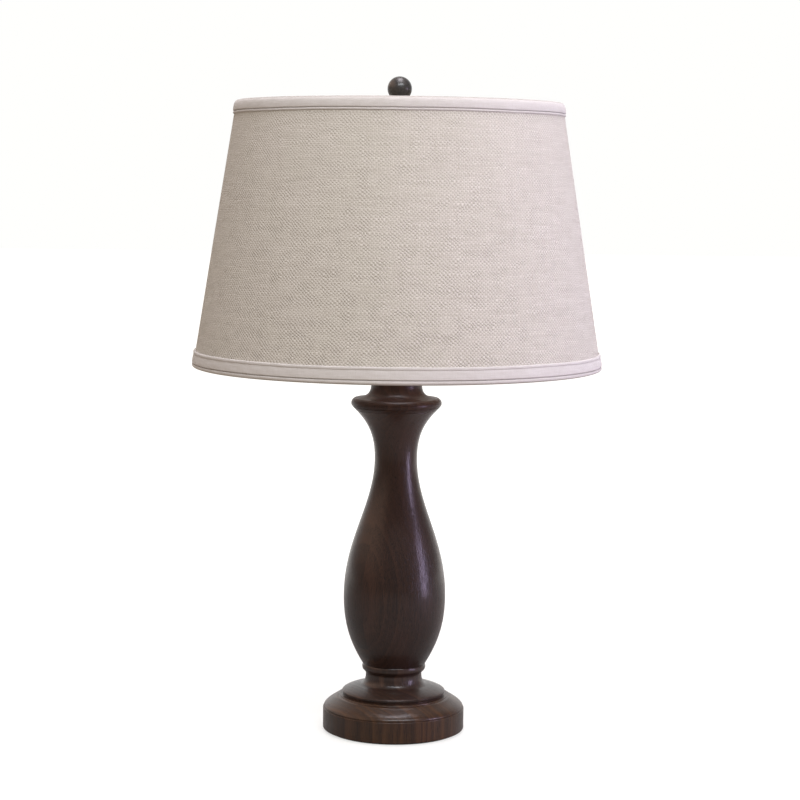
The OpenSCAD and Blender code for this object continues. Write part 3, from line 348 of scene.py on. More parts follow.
def wood(name, seed, tone, figure, calm, coat, comb):
    """Open-grained wood with a dark walnut stain and satin lacquer, grain upright.

    tone tints it, figure is the rings' contrast and coat the lacquer's weight. calm fades the rings
    where they are cut across, between the two flat-sawn faces. comb is how fast the streaks in the
    lacquer change from front to back, as against STREAK from left to right."""
    g = Look(name, Coat_Weight=coat, Coat_Roughness=0.16, Specular_IOR_Level=0.16)
    x, y, z = g.place()
    bearing = math.radians(28 + 5 * seed)
    c, s = math.cos(bearing), math.sin(bearing)
    along = g.add(g.mul(x, -c), g.mul(y, -s))
    across = g.add(g.mul(x, s), g.mul(y, -c))
    # glued staves, each with its own rings and tone
    stave = g.math("FLOOR", g.math("MULTIPLY_ADD", across, 1 / STAVE, 0.5 + 0.13 * seed))
    lot = g.random(g.vector(stave, seed + 0.5, 3.0))
    slow_z = g.math("MULTIPLY_ADD", z, 1 / 190, seed * 3.1)
    quick_z = g.math("MULTIPLY_ADD", z, 1 / 75, seed)
    slow = g.noise(g.vector(g.mul(x, 1 / 48), g.mul(y, 1 / 48), slow_z), 1, 1)
    quick = g.noise(g.vector(g.mul(x, 1 / 9), g.mul(y, 1 / 9), quick_z), 1, 2)
    # rings stand round a pith outside the piece, and wander with height
    pith_x = g.add(along, 96 + 9 * seed)
    pith_y = g.math("MULTIPLY_ADD", lot, 16, g.add(across, -8))
    ring = g.math("SQRT", g.add(g.mul(pith_x, pith_x), g.mul(pith_y, pith_y)))
    ring = g.math("MULTIPLY_ADD", slow, 7, g.math("MULTIPLY_ADD", quick, 1.5, ring))
    ring = g.math("MULTIPLY_ADD", z, 0.012, ring)
    pace = g.noise(g.vector(g.mul(ring, 1 / 19), g.mul(lot, 7), seed * 2.0), 1, 1)
    ring = g.math("MULTIPLY_ADD", pace, 18, ring)
    phase = g.math("MULTIPLY_ADD", lot, 5, g.mul(ring, 1 / RING_PITCH))
    band = g.ramp(g.math("FRACT", phase), [(0, 0.15), (0.18, 0.0), (0.55, 0.5),
                                           (0.8, 0.9), (0.9, 0.8), (1.0, 0.15)])
    year = g.random(g.vector(g.math("FLOOR", phase), lot, 1.0))
    band = g.mul(band, g.math("MULTIPLY_ADD", year, 0.7, 0.45))
    flat_sawn = g.scaled(g.math("ABSOLUTE", along), 16, 38, 1.0 - calm, 1.0, smooth=True)
    band, year = g.mul(band, flat_sawn), g.mul(year, flat_sawn)
    # fibres and pores run along the grain
    fibre = g.noise(g.vector(g.mul(x, 1.05), g.mul(y, 1.05), g.mul(z, 0.03)), 1, 3, 0.6)
    pore = g.noise(g.vector(g.mul(x, 1.9), g.mul(y, 1.9), g.mul(z, 0.12)), 1, 1)
    pore = g.scaled(pore, 0.54, 0.66, smooth=True)
    pore = g.mul(pore, g.math("MULTIPLY_ADD", band, -0.75, 1.0))
    shade = g.math("MULTIPLY_ADD", band, figure, -0.05 - 0.48 * figure)
    shade = g.math("MULTIPLY_ADD", fibre, 0.9, shade)
    shade = g.math("MULTIPLY_ADD", year, 0.22, shade)
    # painted light: the tone lightens with height from the belly up to the waist, standing in for light
    # that the lampshade keeps off the upper column
    shade = g.add(shade, g.scaled(z, 140, 275, -0.12, 0.33, smooth=True))
    shade = g.math("MULTIPLY_ADD", pore, -0.45, shade, clamp=True)
    dark = tuple(v * t for v, t in zip((0.0140, 0.0074, 0.0054), tone))
    light = tuple(v * t for v, t in zip((0.064, 0.033, 0.020), tone))
    colour = g.mix(shade, dark, light)
    stain = g.noise(g.vector(g.mul(x, 1 / 26), g.mul(y, 1 / 26), g.mul(z, 1 / 60)), 1, 2)
    colour = g.mix(g.scaled(stain, 0.4, 0.7, 0.0, 0.3), colour, (0.046, 0.019, 0.0135))
    colour = g.mix(g.scaled(lot, 0.0, 1.0, 0.0, 0.25), colour, (0.024, 0.0165, 0.012))
    g.to("Base Color", colour)
    g.to("Roughness", g.scaled(g.add(fibre, g.mul(pore, 0.5)), 0.3, 1.1, 0.36, 0.6))
    relief = g.math("MULTIPLY_ADD", fibre, 0.25, g.mul(pore, -0.8))
    turning = g.noise(g.vector(g.mul(x, 0.03), g.mul(y, 0.03), g.mul(z, 1.1)), 1, 1)
    normal = g.bump(turning, 0.03, 0.5)
    g.to("Normal", g.bump(relief, 0.09, 0.8, normal))
    # the lacquer follows the turning lines and the grain, and lies in streaks
    streak = g.noise(g.vector(g.mul(x, STREAK), g.mul(y, comb), g.mul(z, 0.045)), 1, 2, 0.6)
    coat_bump = g.bump(streak, 0.3, 0.6, g.bump(turning, 0.03, 0.5))
    g.to("Coat Normal", g.bump(relief, 0.05, 0.8, coat_bump))
    return g.material


def weave(g, u, v, slub=1.0):
    """Plain weave in thread counts u and v: its relief, which thread lies on top, a tone for each
    thread, and the share of the upright one. slub is how uneven the threads are."""
    iu, iv = g.math("FLOOR", u), g.math("FLOOR", v)
    su, sv = (g.math("SINE", g.mul(w, math.pi)) for w in (u, v))
    warp_var = g.noise(g.vector(g.mul(iu, 3.7), g.mul(v, 0.045), 1.0), 1, 2, 0.6)
    weft_var = g.noise(g.vector(g.mul(u, 0.045), g.mul(iv, 3.7), 9.0), 1, 2, 0.6)
    warp_fat = g.scaled(warp_var, 0.3, 0.7, 1 - 0.36 * slub, 1 + 0.36 * slub)
    weft_fat = g.scaled(weft_var, 0.3, 0.7, 1 - 0.26 * slub, 1 + 0.26 * slub)
    warp = g.mul(g.math("ABSOLUTE", su), warp_fat)
    weft = g.mul(g.math("ABSOLUTE", sv), weft_fat)
    cross = g.mul(su, sv)  # above zero where the upright thread lies on top
    threads = g.math("MAXIMUM", g.math("MULTIPLY_ADD", cross, 0.5, warp),
                     g.math("MULTIPLY_ADD", cross, -0.5, weft))
    over = g.scaled(cross, -0.35, 0.35, smooth=True)
    tone = g.add(g.mul(over, g.math("MULTIPLY_ADD", warp_var, 0.5, 0.25)),
                 g.mul(g.math("SUBTRACT", 1.0, over), weft_var))
    return threads, cross, tone, over


WARP_PITCH, WEFT_PITCH = 1.88, 1.78
TAPE_WARP, TAPE_WEFT = 0.62, 0.5


def burlap(name):
    """Oatmeal plain weave of thick uneven threads, as on the shade."""
    g = Look(name, Roughness=0.92, Sheen_Weight=0.12, Sheen_Roughness=0.6, Specular_IOR_Level=0.15)
    x, y, _ = g.flat()
    drift_x = g.noise(g.vector(g.mul(x, 1 / 7), g.mul(y, 1 / 16), 0.0), 1, 2)
    drift_y = g.noise(g.vector(g.mul(x, 1 / 16), g.mul(y, 1 / 7), 5.0), 1, 2)
    u = g.math("MULTIPLY_ADD", drift_x, 2.2, g.mul(x, 1 / WARP_PITCH))
    v = g.math("MULTIPLY_ADD", drift_y, 2.2, g.mul(y, 1 / WEFT_PITCH))
    threads, cross, tone, over = weave(g, u, v)
    patch = g.noise(g.vector(g.mul(x, 1 / 13), g.mul(y, 1 / 11), 7.0), 1, 1)
    lower = g.scaled(y, APEX - SLOPE, APEX, 0.85, 1.45)
    cross = g.mul(g.mul(cross, lower), g.scaled(patch, 0.35, 0.65, 0.35, 1.2))
    gap = g.scaled(threads, 0.5, 1.0, 1.0, 0.0, smooth=True)
    colour = g.mix(g.scaled(tone, 0.3, 0.7), (0.55, 0.515, 0.468), (0.68, 0.645, 0.595))
    # painted shade: the upright thread's crowns darker, more so towards the bottom, for the weave's own
    # shading
    colour = g.mix(g.mul(g.mul(over, lower), 0.55), colour, (0.47, 0.435, 0.39))
    # painted shade: darker where the threads part
    colour = g.mix(g.mul(gap, 0.3), colour, (0.33, 0.29, 0.245))
    fleck = g.noise(g.vector(g.mul(x, 0.55), g.mul(y, 0.8), 2.0), 1, 1)
    fleck = g.mul(g.scaled(fleck, 0.74, 0.8, smooth=True), 0.5)
    colour = g.mix(fleck, colour, (0.30, 0.24, 0.18))
    cloud = g.noise(g.vector(g.mul(x, 1 / 38), g.mul(y, 1 / 38), 4.0), 1, 2)
    colour = g.mix(g.scaled(cloud, 0.35, 0.7, 0.0, 0.22), colour, (0.52, 0.50, 0.43))
    g.to("Base Color", colour)
    hair = g.noise(g.vector(g.mul(x, 3.2), g.mul(y, 3.2), 0.0), 1, 2)
    normal = g.bump(hair, 0.08, 0.4)
    relief = g.math("MULTIPLY_ADD", cross, 0.75, g.mul(threads, 0.4))
    g.to("Normal", g.bump(relief, 0.34, 1.0, normal))
    return g.material


def tape(name):
    """Pale tape of fine thread, as folded over both rims."""
    g = Look(name, Roughness=0.88, Sheen_Weight=0.15, Sheen_Roughness=0.5, Specular_IOR_Level=0.2)
    x, y, proud = g.flat()
    threads, _, tone, _ = weave(g, g.mul(x, 1 / TAPE_WARP), g.mul(y, 1 / TAPE_WEFT), 0.7)
    streak = g.noise(g.vector(g.mul(x, 1 / 30), g.mul(y, 1 / 0.9), 3.0), 1, 3, 0.65)
    colour = g.mix(g.scaled(tone, 0.25, 0.75), (0.565, 0.535, 0.515), (0.68, 0.655, 0.65))
    colour = g.mix(g.scaled(streak, 0.35, 0.65, 0.0, 0.45), colour, (0.52, 0.49, 0.46))
    # painted shade: darker where the threads part
    gap = g.scaled(threads, 0.5, 1.0, 0.35, 0.0, smooth=True)
    colour = g.mix(gap, colour, (0.38, 0.34, 0.30))
    # painted shade: darker wherever the tape lies low, in its creases and on its inner fold inside the
    # shade
    colour = g.mix(g.scaled(proud, 0.3, 1.0, 0.55, 0.0, smooth=True), colour, (0.30, 0.265, 0.235))
    g.to("Base Color", colour)
    wave = g.noise(g.vector(g.mul(x, 1 / 7), g.mul(y, 1 / 5), 0.0), 1, 2)
    normal = g.bump(wave, 0.35, 0.5)
    g.to("Normal", g.bump(threads, 0.07, 0.7, normal))
    return g.material


def felt(name):
    """Dark green felt with short fuzz."""
    g = Look(name, Roughness=0.95, Sheen_Weight=0.4, Sheen_Roughness=0.5, Specular_IOR_Level=0.1)
    x, y, z = g.place()
    fuzz = g.noise(g.vector(x, y, z), 1.6, 4, 0.7)
    cloud = g.noise(g.vector(x, y, z), 0.08, 2)
    colour = g.mix(g.scaled(fuzz, 0.3, 0.7), (0.013, 0.021, 0.017), (0.04, 0.055, 0.045))
    g.to("Base Color", g.mix(g.scaled(cloud, 0.4, 0.7, 0, 0.4), colour, (0.018, 0.02, 0.018)))
    g.to("Normal", g.bump(fuzz, 0.35, 0.9))
    return g.material


ROUNDED = 0.15  # how far a metal edge is softened


def metal(name, colour, worn, rough, coat, brushed, metallic=1.0):
    """Metal with smudges, fine turning lines and softly rounded edges."""
    g = Look(name, Metallic=metallic, Coat_Weight=coat, Coat_Roughness=0.12)
    x, y, z = g.place()
    smudge = g.noise(g.vector(x, y, z), 0.11, 4, 0.6)
    grain = g.noise(g.vector(g.mul(x, 0.5), g.mul(y, 0.5), g.mul(z, 6.0)), 1, 3)
    speck = g.noise(g.vector(x, y, z), 1.9, 3, 0.7)
    tarnish = g.math("MULTIPLY_ADD", speck, 0.45, g.mul(smudge, 0.75))
    g.to("Base Color", g.mix(g.scaled(tarnish, 0.5, 0.8), colour, worn))
    rough_map = g.math("MULTIPLY_ADD", grain, brushed, smudge)
    g.to("Roughness", g.scaled(rough_map, 0.3, 0.9, rough - 0.07, rough + 0.16))
    node = g.tree.nodes.new("ShaderNodeBevel")
    node.samples = 4
    node.inputs["Radius"].default_value = ROUNDED * MM
    g.to("Normal", g.bump(grain, 0.02, 0.1 + brushed, node.outputs[0]))
    return g.material


def plastic(name):
    """Dark moulded plastic."""
    g = Look(name, Coat_Weight=0.3, Coat_Roughness=0.1)
    x, y, z = g.place()
    swirl = g.noise(g.vector(x, y, z), 0.35, 4, 0.65)
    g.to("Base Color", g.mix(g.scaled(swirl, 0.35, 0.7), (0.011, 0.009, 0.008), (0.022, 0.018, 0.015)))
    g.to("Roughness", g.scaled(swirl, 0.3, 0.7, 0.26, 0.42))
    pits = g.noise(g.vector(x, y, z), 2.4, 2)
    g.to("Normal", g.bump(pits, 0.03, 0.3))
    return g.material


def card(name):
    """Brown card of the lampholder's liner."""
    g = Look(name, Roughness=0.85)
    x, y, z = g.place()
    fibre = g.noise(g.vector(g.mul(x, 0.9), g.mul(y, 0.9), g.mul(z, 0.3)), 1, 4, 0.7)
    g.to("Base Color", g.mix(g.scaled(fibre, 0.3, 0.7), (0.24, 0.16, 0.095), (0.43, 0.32, 0.21)))
    g.to("Normal", g.bump(fibre, 0.08, 0.6))
    return g.material


def styrene(name):
    """White sheet inside the shade."""
    g = Look(name, Roughness=0.55)
    x, y, z = g.place()
    cloud = g.noise(g.vector(x, y, z), 0.012, 3)
    peel = g.noise(g.vector(x, y, z), 0.5, 2)
    g.to("Base Color", g.mix(g.scaled(cloud, 0.3, 0.7), (0.80, 0.78, 0.735), (0.86, 0.845, 0.81)))
    g.to("Normal", g.bump(peel, 0.12, 0.4))
    return g.material


def frosted(name):
    """White-coated glass of the globe."""
    g = Look(name, Coat_Weight=0.8, Coat_Roughness=0.06, Subsurface_Weight=0.15)
    x, y, z = g.place()
    powder = g.noise(g.vector(x, y, z), 0.9, 3)
    low = g.scaled(z, CAP_TOP - 0.3, CAP_TOP + 15.7, 0.35, 0.0, smooth=True)
    colour = g.mix(g.scaled(powder, 0.3, 0.7), (0.83, 0.82, 0.79), (0.89, 0.885, 0.86))
    g.to("Base Color", g.mix(low, colour, (0.62, 0.61, 0.58)))
    g.to("Roughness", g.scaled(powder, 0.3, 0.7, 0.3, 0.45))
    return g.material


BRASS = metal("brass", (0.63, 0.44, 0.19), (0.40, 0.26, 0.10), 0.27, 0.3, 0.3)
STEEL = metal("steel", (0.52, 0.52, 0.52), (0.36, 0.35, 0.34), 0.36, 0.0, 0.4)
NICKEL = metal("nickel", (0.62, 0.60, 0.57), (0.46, 0.44, 0.41), 0.30, 0.0, 0.3)
BRONZE = metal("bronze", (0.034, 0.031, 0.030), (0.052, 0.043, 0.036), 0.38, 0.3, 0.15, 0.25)
PLASTIC, CARD = plastic("black_plastic"), card("card")
LINER, GLASS_LOOK, FELT_LOOK = styrene("liner"), frosted("frosted_glass"), felt("felt")
BURLAP, TAPE = burlap("burlap"), tape("tape")
# the slot wood_dark has no row here, because its nodes are all replaced by the turned pieces below
LOOKS = {
    "brass": BRASS, "steel": STEEL, "nickel": NICKEL, "bronze": BRONZE, "black_plastic": PLASTIC,
    "card": CARD, "shade_liner": LINER, "frosted_glass": GLASS_LOOK, "felt": FELT_LOOK,
    "shade_fabric": BURLAP, "trim_tape": TAPE,
}
for row in frame["record"]["subparts"]:
    look = LOOKS.get(row["material_slot"])
    node = nodes[row["node"]]
    if look is not None:
        node.data.materials.clear()
        node.data.materials.append(look)


# ------------------------------------------------------------------ turned wood
def tenon(z):
    """Up the bore and round the tenon, to the shoulder at height z."""
    return [[BORE_R, z - TENON_L], [TENON_R, z - TENON_L], [TENON_R, z]]


def socket(z):
    """Down the socket in a top at height z and in to the bore."""
    return [[SOCKET_R, z], [SOCKET_R, z - SOCKET_L], [BORE_R, z - SOCKET_L]]


arris = np.array([FOOT_R - 0.75, FELT + SIDE_H])
brow = np.array([BROW_R, LEDGE_Z - 1.9])
foot_outline = joined(
    [[POCKET_R, FELT], [68, FELT]],
    arc(FOOT_R - 1.2, FELT + 1.2, 1.2, -90, 0, 6),
    arc(FOOT_R - 0.6, FELT + 20.4, 0.6, 0, 85, 5),
    [arris - [0.35, 0.75]],
    bezier(arris, arris + [-0.9, 3.8], brow + [5.8, -4.0], brow, 20),
    bezier(brow, brow + [-0.8, 0.7], [55.4, LEDGE_Z - 1.0], [54.4, LEDGE_Z - 1.0], 8),
    [[54.1, LEDGE_Z - 0.2], [LEDGE_R, LEDGE_Z], [51.3, LEDGE_Z]],
    socket(LEDGE_Z),
    [[BORE_R, POCKET_Z], [POCKET_R, POCKET_Z]],
)
throat, dome_top = LEDGE_Z + COVE_H, LEDGE_Z + DOME_H
bead_mid, bead_low = LEDGE_Z + BEAD_H, math.radians(BEAD_LOW)
bead_foot = np.array([BEAD_R + BEAD_ROUND * math.cos(bead_low), bead_mid + BEAD_ROUND * math.sin(bead_low)])
dome_outline = joined(
    tenon(LEDGE_Z),
    [[50.2, LEDGE_Z]],
    bezier([50.2, LEDGE_Z + 0.6], [50.2, LEDGE_Z + 1.9],
           [50.7, LEDGE_Z + 2.2], [DOME_R, LEDGE_Z + 2.4], 6),
    bezier([DOME_R, LEDGE_Z + 3.3], [53.9, LEDGE_Z + 4.5],
           [40.8, dome_top - 1.2], [34.0, dome_top - 0.3], 28),
    bezier([34.0, dome_top - 0.3], [30.4, dome_top + 0.4],
           [COVE_R, throat - 6], [COVE_R, throat + 1.3], 24),
    bezier([COVE_R, throat + 1.3], [COVE_R, throat + 3.6], bead_foot - [1.2, 1.9], bead_foot, 12),
    arc(BEAD_R, bead_mid, BEAD_ROUND, BEAD_LOW, BEAD_HIGH, 12),
    [[30.7, BEAD_Z]],
    socket(BEAD_Z),
)
belly_z, waist_z = BEAD_Z + BELLY_H, BEAD_Z + WAIST_H
fall, flare = waist_z - belly_z, COLLAR_Z - waist_z
column_outline = joined(
    tenon(BEAD_Z),
    bezier([COLUMN_R, BEAD_Z], [COLUMN_R + 0.6 * (BELLY_R - COLUMN_R), BEAD_Z + 0.28 * BELLY_H],
           [BELLY_R, BEAD_Z + 0.56 * BELLY_H], [BELLY_R, belly_z], 60),
    bezier([BELLY_R, belly_z], [BELLY_R, belly_z + 0.418 * fall],
           [WAIST_R, waist_z - 0.344 * fall], [WAIST_R, waist_z], 90),
    bezier([WAIST_R, waist_z], [WAIST_R, waist_z + 0.484 * flare],
           [28.7, COLLAR_Z - 13], [LIP_R, COLLAR_Z], 48)[:-3],
    [[40.3, COLLAR_Z - 1.75], [40.0, COLLAR_Z - 1.3], [40.75, COLLAR_Z - 1.05], [LIP_R, COLLAR_Z]],
    socket(COLLAR_Z),
)
edge_z = COLLAR_Z + EDGE_ROUND * math.sin(math.radians(80))
edge_high = math.radians(EDGE_HIGH)
collar_top = edge_z + EDGE_ROUND * math.sin(edge_high) + 0.5
collar_outline = joined(
    tenon(COLLAR_Z),
    [[41.8, COLLAR_Z], [43.3, COLLAR_Z + 1.5], [42.95, COLLAR_Z + 1.95], [43.8, COLLAR_Z + 2.25]],
    arc(EDGE_R, edge_z, EDGE_ROUND, EDGE_LOW, EDGE_HIGH, 20),
    bezier([EDGE_R + EDGE_ROUND * math.cos(edge_high) - 0.7, collar_top], [33, collar_top + 1.0],
           [26.0, collar_top + 2.0], [NECK_R, COLLAR_Z + 22.2], 30),
    arc(NECK_R - 2, NECK_TOP - 2, 2, 0, 90, 6),
    [[BORE_R, NECK_TOP]],
)
# the tones tint each piece; the dome ring's paler, bluer tone is painted reflection of lilac light, and the
# collar's darker tone is painted shade under the lampshade
for seed, (name, outline, step, tone, figure, calm, coat, comb) in enumerate((
    ("foot", foot_outline, 2.0, (1.42, 1.17, 0.70), 0.42, 0.0, 0.5, 0.06),
    ("dome_ring", dome_outline, 2.0, (1.18, 1.20, 1.30), 0.42, 0.0, 0.5, 0.06),
    ("column", column_outline, 2.4, (0.96, 0.82, 0.82), 0.36, 0.7, 0.5, STREAK),
    ("collar_neck", collar_outline, 2.0, (0.80, 0.72, 0.76), 0.42, 0.0, 0.22, STREAK),
)):
    outline = spaced(eased(outline, 0.7), step)
    look = wood("wood_" + name, seed, tone, figure, calm, coat, comb)
    obj = turned("turned_" + name, outline, "base", look)
    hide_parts(name)


def cut(obj, verts, faces):
    """Takes a closed cutter, in millimetres, out of a mesh piece."""
    mesh = bpy.data.meshes.new("cutter")
    mesh.from_pydata((np.asarray(verts) * MM).tolist(), [], faces)
    mesh.update()
    cutter = bpy.data.objects.new("cutter", mesh)
    scene.collection.objects.link(cutter)
    modifier = obj.modifiers.new("cut", "BOOLEAN")
    modifier.object, modifier.solver, modifier.operation = cutter, "EXACT", "DIFFERENCE"
    graph = bpy.context.evaluated_depsgraph_get()
    result = bpy.data.meshes.new_from_object(obj.evaluated_get(graph))
    obj.modifiers.clear()
    obj.data = result
    bpy.data.objects.remove(cutter)
    result.set_sharp_from_angle(angle=math.radians(35))


# the cord inlet's bore, from the pocket to the spot face at the foot's back
hole = np.array([[0, 20], [INLET_R, 20], [INLET_R, SPOT_Y], [SPOT_R, SPOT_Y], [SPOT_R, 70.5],
                 [SPOT_R + 1, 71.6], [0, 71.6]])
verts, faces = revolved(hole, 64)
verts = verts[:, [0, 2, 1]] + [0, 0, INLET_Z]
cut(bpy.data.objects["turned_foot"], verts, outward(verts, faces))

# ------------------------------------------------------------------ felt under the foot
rng = np.random.default_rng(7)
pad_corners = np.array([[0, 0], [FELT_R, 0], [FELT_R, FELT], [0, FELT]], float)
pad_outline = spaced(eased(pad_corners, 0.5, False), 4.0, False)


def pilling(_angle, points):
    """A warp that roughens the pad's edge."""
    points[..., 0] += rng.normal(0, 0.06, points.shape[:2]) * (points[..., 0] > FELT_R - 7)
    return points


pad = turned("felt_disc", pad_outline, "base", FELT_LOOK, 192, pilling)
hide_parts("felt_pad")


# ------------------------------------------------------------------ shade
def wall(s, n):
    """Radius and height of a point s along the shade's slope and n out from the cloth."""
    return (SHADE_RB - s * math.sin(TAPER) + n * math.cos(TAPER),
            SHADE_Z + s * math.cos(TAPER) + n * math.sin(TAPER))


def around(angle, r, z):
    """Points at an angle from the front, radius and height."""
    return np.stack([r * np.sin(angle), -r * np.cos(angle), z * np.ones_like(angle)], -1)


# the cloth goes once round from the back, and laps over its own start there
OVERLAP = math.radians(3.9)
LIFT_OVER = 0.02  # the angle in which the lap climbs
s_low, s_high = 0.6, SLOPE - 0.6
columns, rows = 720, 66
angles = np.linspace(-math.pi, math.pi + OVERLAP, columns + 1)[:, None]
s_up = np.linspace(s_low, s_high, rows)
s_loop = np.concatenate([s_up, s_up[::-1]])[None, :]
outside = np.concatenate([np.ones(rows), np.zeros(rows)])[None, :]
lap = np.clip((angles - (math.pi - LIFT_OVER)) / LIFT_OVER, 0, 1)
lap = lap * lap * (3 - 2 * lap)
ripple = 0.10 * np.sin(5 * angles + 0.02 * s_loop) + 0.07 * np.sin(13 * angles - 0.035 * s_loop)
n_loop = (outside - 1) * FABRIC + lap * (FABRIC + 0.05) + 0.08 + ripple * (1 - lap) * 0.5
r_loop, z_loop = wall(s_loop, n_loop)
points = around(angles + 0 * s_loop, r_loop, z_loop)
loop = 2 * rows
verts = points.reshape(-1, 3)
faces = quads(columns + 1, loop, False, True)
faces.append(list(range(loop)))
faces.append(list(range(columns * loop, (columns + 1) * loop))[::-1])
# the place of each point on the flat sector, of which the threads take their run
bent = angles * math.sin(TAPER)
reach = APEX - s_loop
flat = np.stack([reach * np.sin(bent), reach * np.cos(0.35 * bent), 0 * reach + n_loop], -1).reshape(-1, 3)
cloth = piece("shade_cloth", verts, outward(verts, faces, 7), "shade", BURLAP, flat)
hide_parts("shade_fabric")

FOLD = -4.8  # how far in the tape goes round the ring wire


def trim(name, node, start, way, outer):
    """Tape folded over a rim and the ring in it: outer is its face as (distance from the rim, proud
    of the cloth), start and way are the rim's place and direction along the slope."""
    inner = [[outer[-1][0], 0.0], [0.6, 0.0], [0.6, FOLD], [4.3, FOLD], [8.7, -WALL], [12, -WALL],
             [12, -WALL - 0.6], [8.7, -WALL - 0.6], [4.3, FOLD - 0.6], [0.0, FOLD - 0.6]]
    outline = spaced(eased(joined(outer, inner), 1.0, steps=5), 1.2)
    count = 720
    a = np.arange(count)[:, None] * 2 * math.pi / count - math.pi  # its ends meet at the back
    s, n = outline[None, :, 0], outline[None, :, 1]
    proud = n > 0.2
    drift = 0.16 * np.sin(3 * a + way) + 0.13 * np.sin(8 * a + 2) + 0.06 * np.sin(29 * a)
    pucker = 0.05 * np.sin(61 * a + 0.7 * s) + 0.04 * np.sin(37 * a - 0.4 * s)
    at_back = np.exp(-(((a + math.pi - 0.042) / 0.037) ** 4))  # where the cloth's lap lifts it
    n_all = n + (pucker + 0.45 * at_back) * proud
    s_all = s + drift * np.clip((s - 1.5) / 6, 0, 1) * proud
    r, z = wall(start + way * s_all, n_all)
    points = around(a + 0 * s_all, r, z).reshape(-1, 3)
    faces = outward(points, quads(count, len(outline), True, True), 5)
    length = np.cumsum(np.linalg.norm(np.diff(outline, axis=0, prepend=outline[:1]), axis=1))
    flat = np.stack([a * SHADE_RT + 0 * s, 0 * a + length[None], 0 * a + n], -1).reshape(-1, 3)
    obj = piece(name, points, faces, "shade", TAPE, flat, 50)
    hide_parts(node)
    return obj


bottom_face = [[0.6, FOLD - 0.2], [0.0, FOLD + 1.4], [-0.25, -1.8], [0.0, 0.0], [0.7, 1.0], [1.8, 1.4],
               [2.8, 1.3], [3.4, 0.8], [3.75, 0.15], [4.0, 0.3], [3.85, 1.25], [4.4, 1.75], [7.0, 1.85],
               [10.5, 1.75], [12.4, 1.5], [12.8, 1.2], [13.1, 1.75], [13.8, 2.0], [15.2, 1.9],
               [15.9, 1.2], [16.0, 0.5]]
top_face = [[0.6, FOLD - 0.2], [0.0, FOLD + 1.4], [-0.25, -2.4], [0.1, -0.8], [1.0, 0.5], [2.6, 1.35],
            [4.6, 1.75], [7.2, 1.85], [9.6, 1.7], [10.6, 1.45], [10.75, 0.5], [10.95, 0.15], [11.2, 0.7],
            [11.8, 1.35], [12.7, 1.3], [13.2, 0.9], [13.4, 0.4]]
hem_low = trim("bottom_tape", "bottom_trim", 0.0, 1, bottom_face)
hem_high = trim("top_tape", "top_trim", SLOPE, -1, top_face)

# ------------------------------------------------------------------ finial, bulb and threads
finial_join = math.radians(-66)
finial_outline = joined(
    [[0, FINIAL_Z + 12], [3.225, FINIAL_Z + 11.6], [3.225, FINIAL_Z + 0.6], [3.8, FINIAL_Z]],
    [[7.0, FINIAL_Z], [7.6, FINIAL_Z + 0.6], [7.6, FINIAL_Z + 1.5], [7.1, FINIAL_Z + 2]],
    bezier([7.0, FINIAL_Z + 2], [4.9, FINIAL_Z + 3.5], [4.9, BALL_Z - 15],
           [BALL_R * math.cos(finial_join), BALL_Z + BALL_R * math.sin(finial_join)], 28),
    arc(0, BALL_Z, BALL_R, -62, 90, 56),
)
finial_outline[-1, 0] = 0
ball = turned("ball_finial", finial_outline, "finial", BRONZE, 128)
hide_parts("finial")


def thread(z0, z1, pitch, depth, low_r, high_r):
    """A warp that winds a rounded thread into the walls between two heights."""
    def warp(angle, points):
        r, z = points[..., 0], points[..., 1]
        inside = (r > low_r) & (r < high_r)
        ends = np.clip((z - z0) / pitch, 0, 1) * np.clip((z1 - z) / pitch, 0, 1)
        wave = 0.5 - 0.5 * np.cos(2 * math.pi * (z / pitch - angle / (2 * math.pi)))
        points[..., 0] = r + depth * wave * ends * inside
        return points
    return warp


def upright(r, z0, z1, step=0.25):
    """A straight wall in short steps, for a thread to bend."""
    return spaced(np.array([[r, z0], [r, z1]]), step, False)


post_top = SEAT_Z + STUD_H
stud_outline = joined(
    [[0, EYE_Z - 1.7], [3.6, EYE_Z - 1.7], [4.5, EYE_Z - 1.2], [4.6, EYE_Z - 0.1], [3.05, EYE_Z - 0.1],
     [3.05, SEAT_Z - 2.6], [7.1, SEAT_Z - 2.6], [7.5, SEAT_Z - 2.2], [7.5, SEAT_Z - 0.4], [7.1, SEAT_Z]],
    upright(STUD_R, SEAT_Z, post_top - 0.7, 0.1),
    [[2.6, post_top], [0, post_top]],
)
stud = turned("threaded_stud", stud_outline, "swivel", BRASS, 64,
              thread(SEAT_Z + 0.5, post_top, STUD_PITCH, -0.42, 3.0, 3.3), 60)
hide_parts("swivel_stud")

cap_in = CAP_R - CAP_WALL
cap_outline = joined(
    [[9.6, CAP_Z], [10, CAP_Z]],
    upright(CAP_R, CAP_Z + 2.4, CAP_TOP),
    upright(cap_in, CAP_TOP, CAP_Z + 2.4),
)
bulb_base = turned("bulb_thread", cap_outline, "bulb", NICKEL, 96,
                   thread(CAP_Z + 2.8, CAP_TOP - 8.1, BULB_PITCH, -0.6, 12.5, 13.2), 50)
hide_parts("bulb_cap")

shell_outline = joined(
    [[SHELL_HOLE, SHELL_Z]],
    upright(SHELL_R, SHELL_Z, SHELL_TOP),
    upright(SHELL_R - SHELL_WALL, SHELL_TOP, SHELL_Z + SHELL_WALL),
    [[SHELL_HOLE, SHELL_Z + SHELL_WALL]],
)
shell = turned("thread_shell", shell_outline, "base", BRASS, 96,
               thread(SHELL_Z + 1.5, SHELL_TOP - 1, BULB_PITCH, 0.55, 13.3, 13.9), 50)
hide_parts("screw_shell")


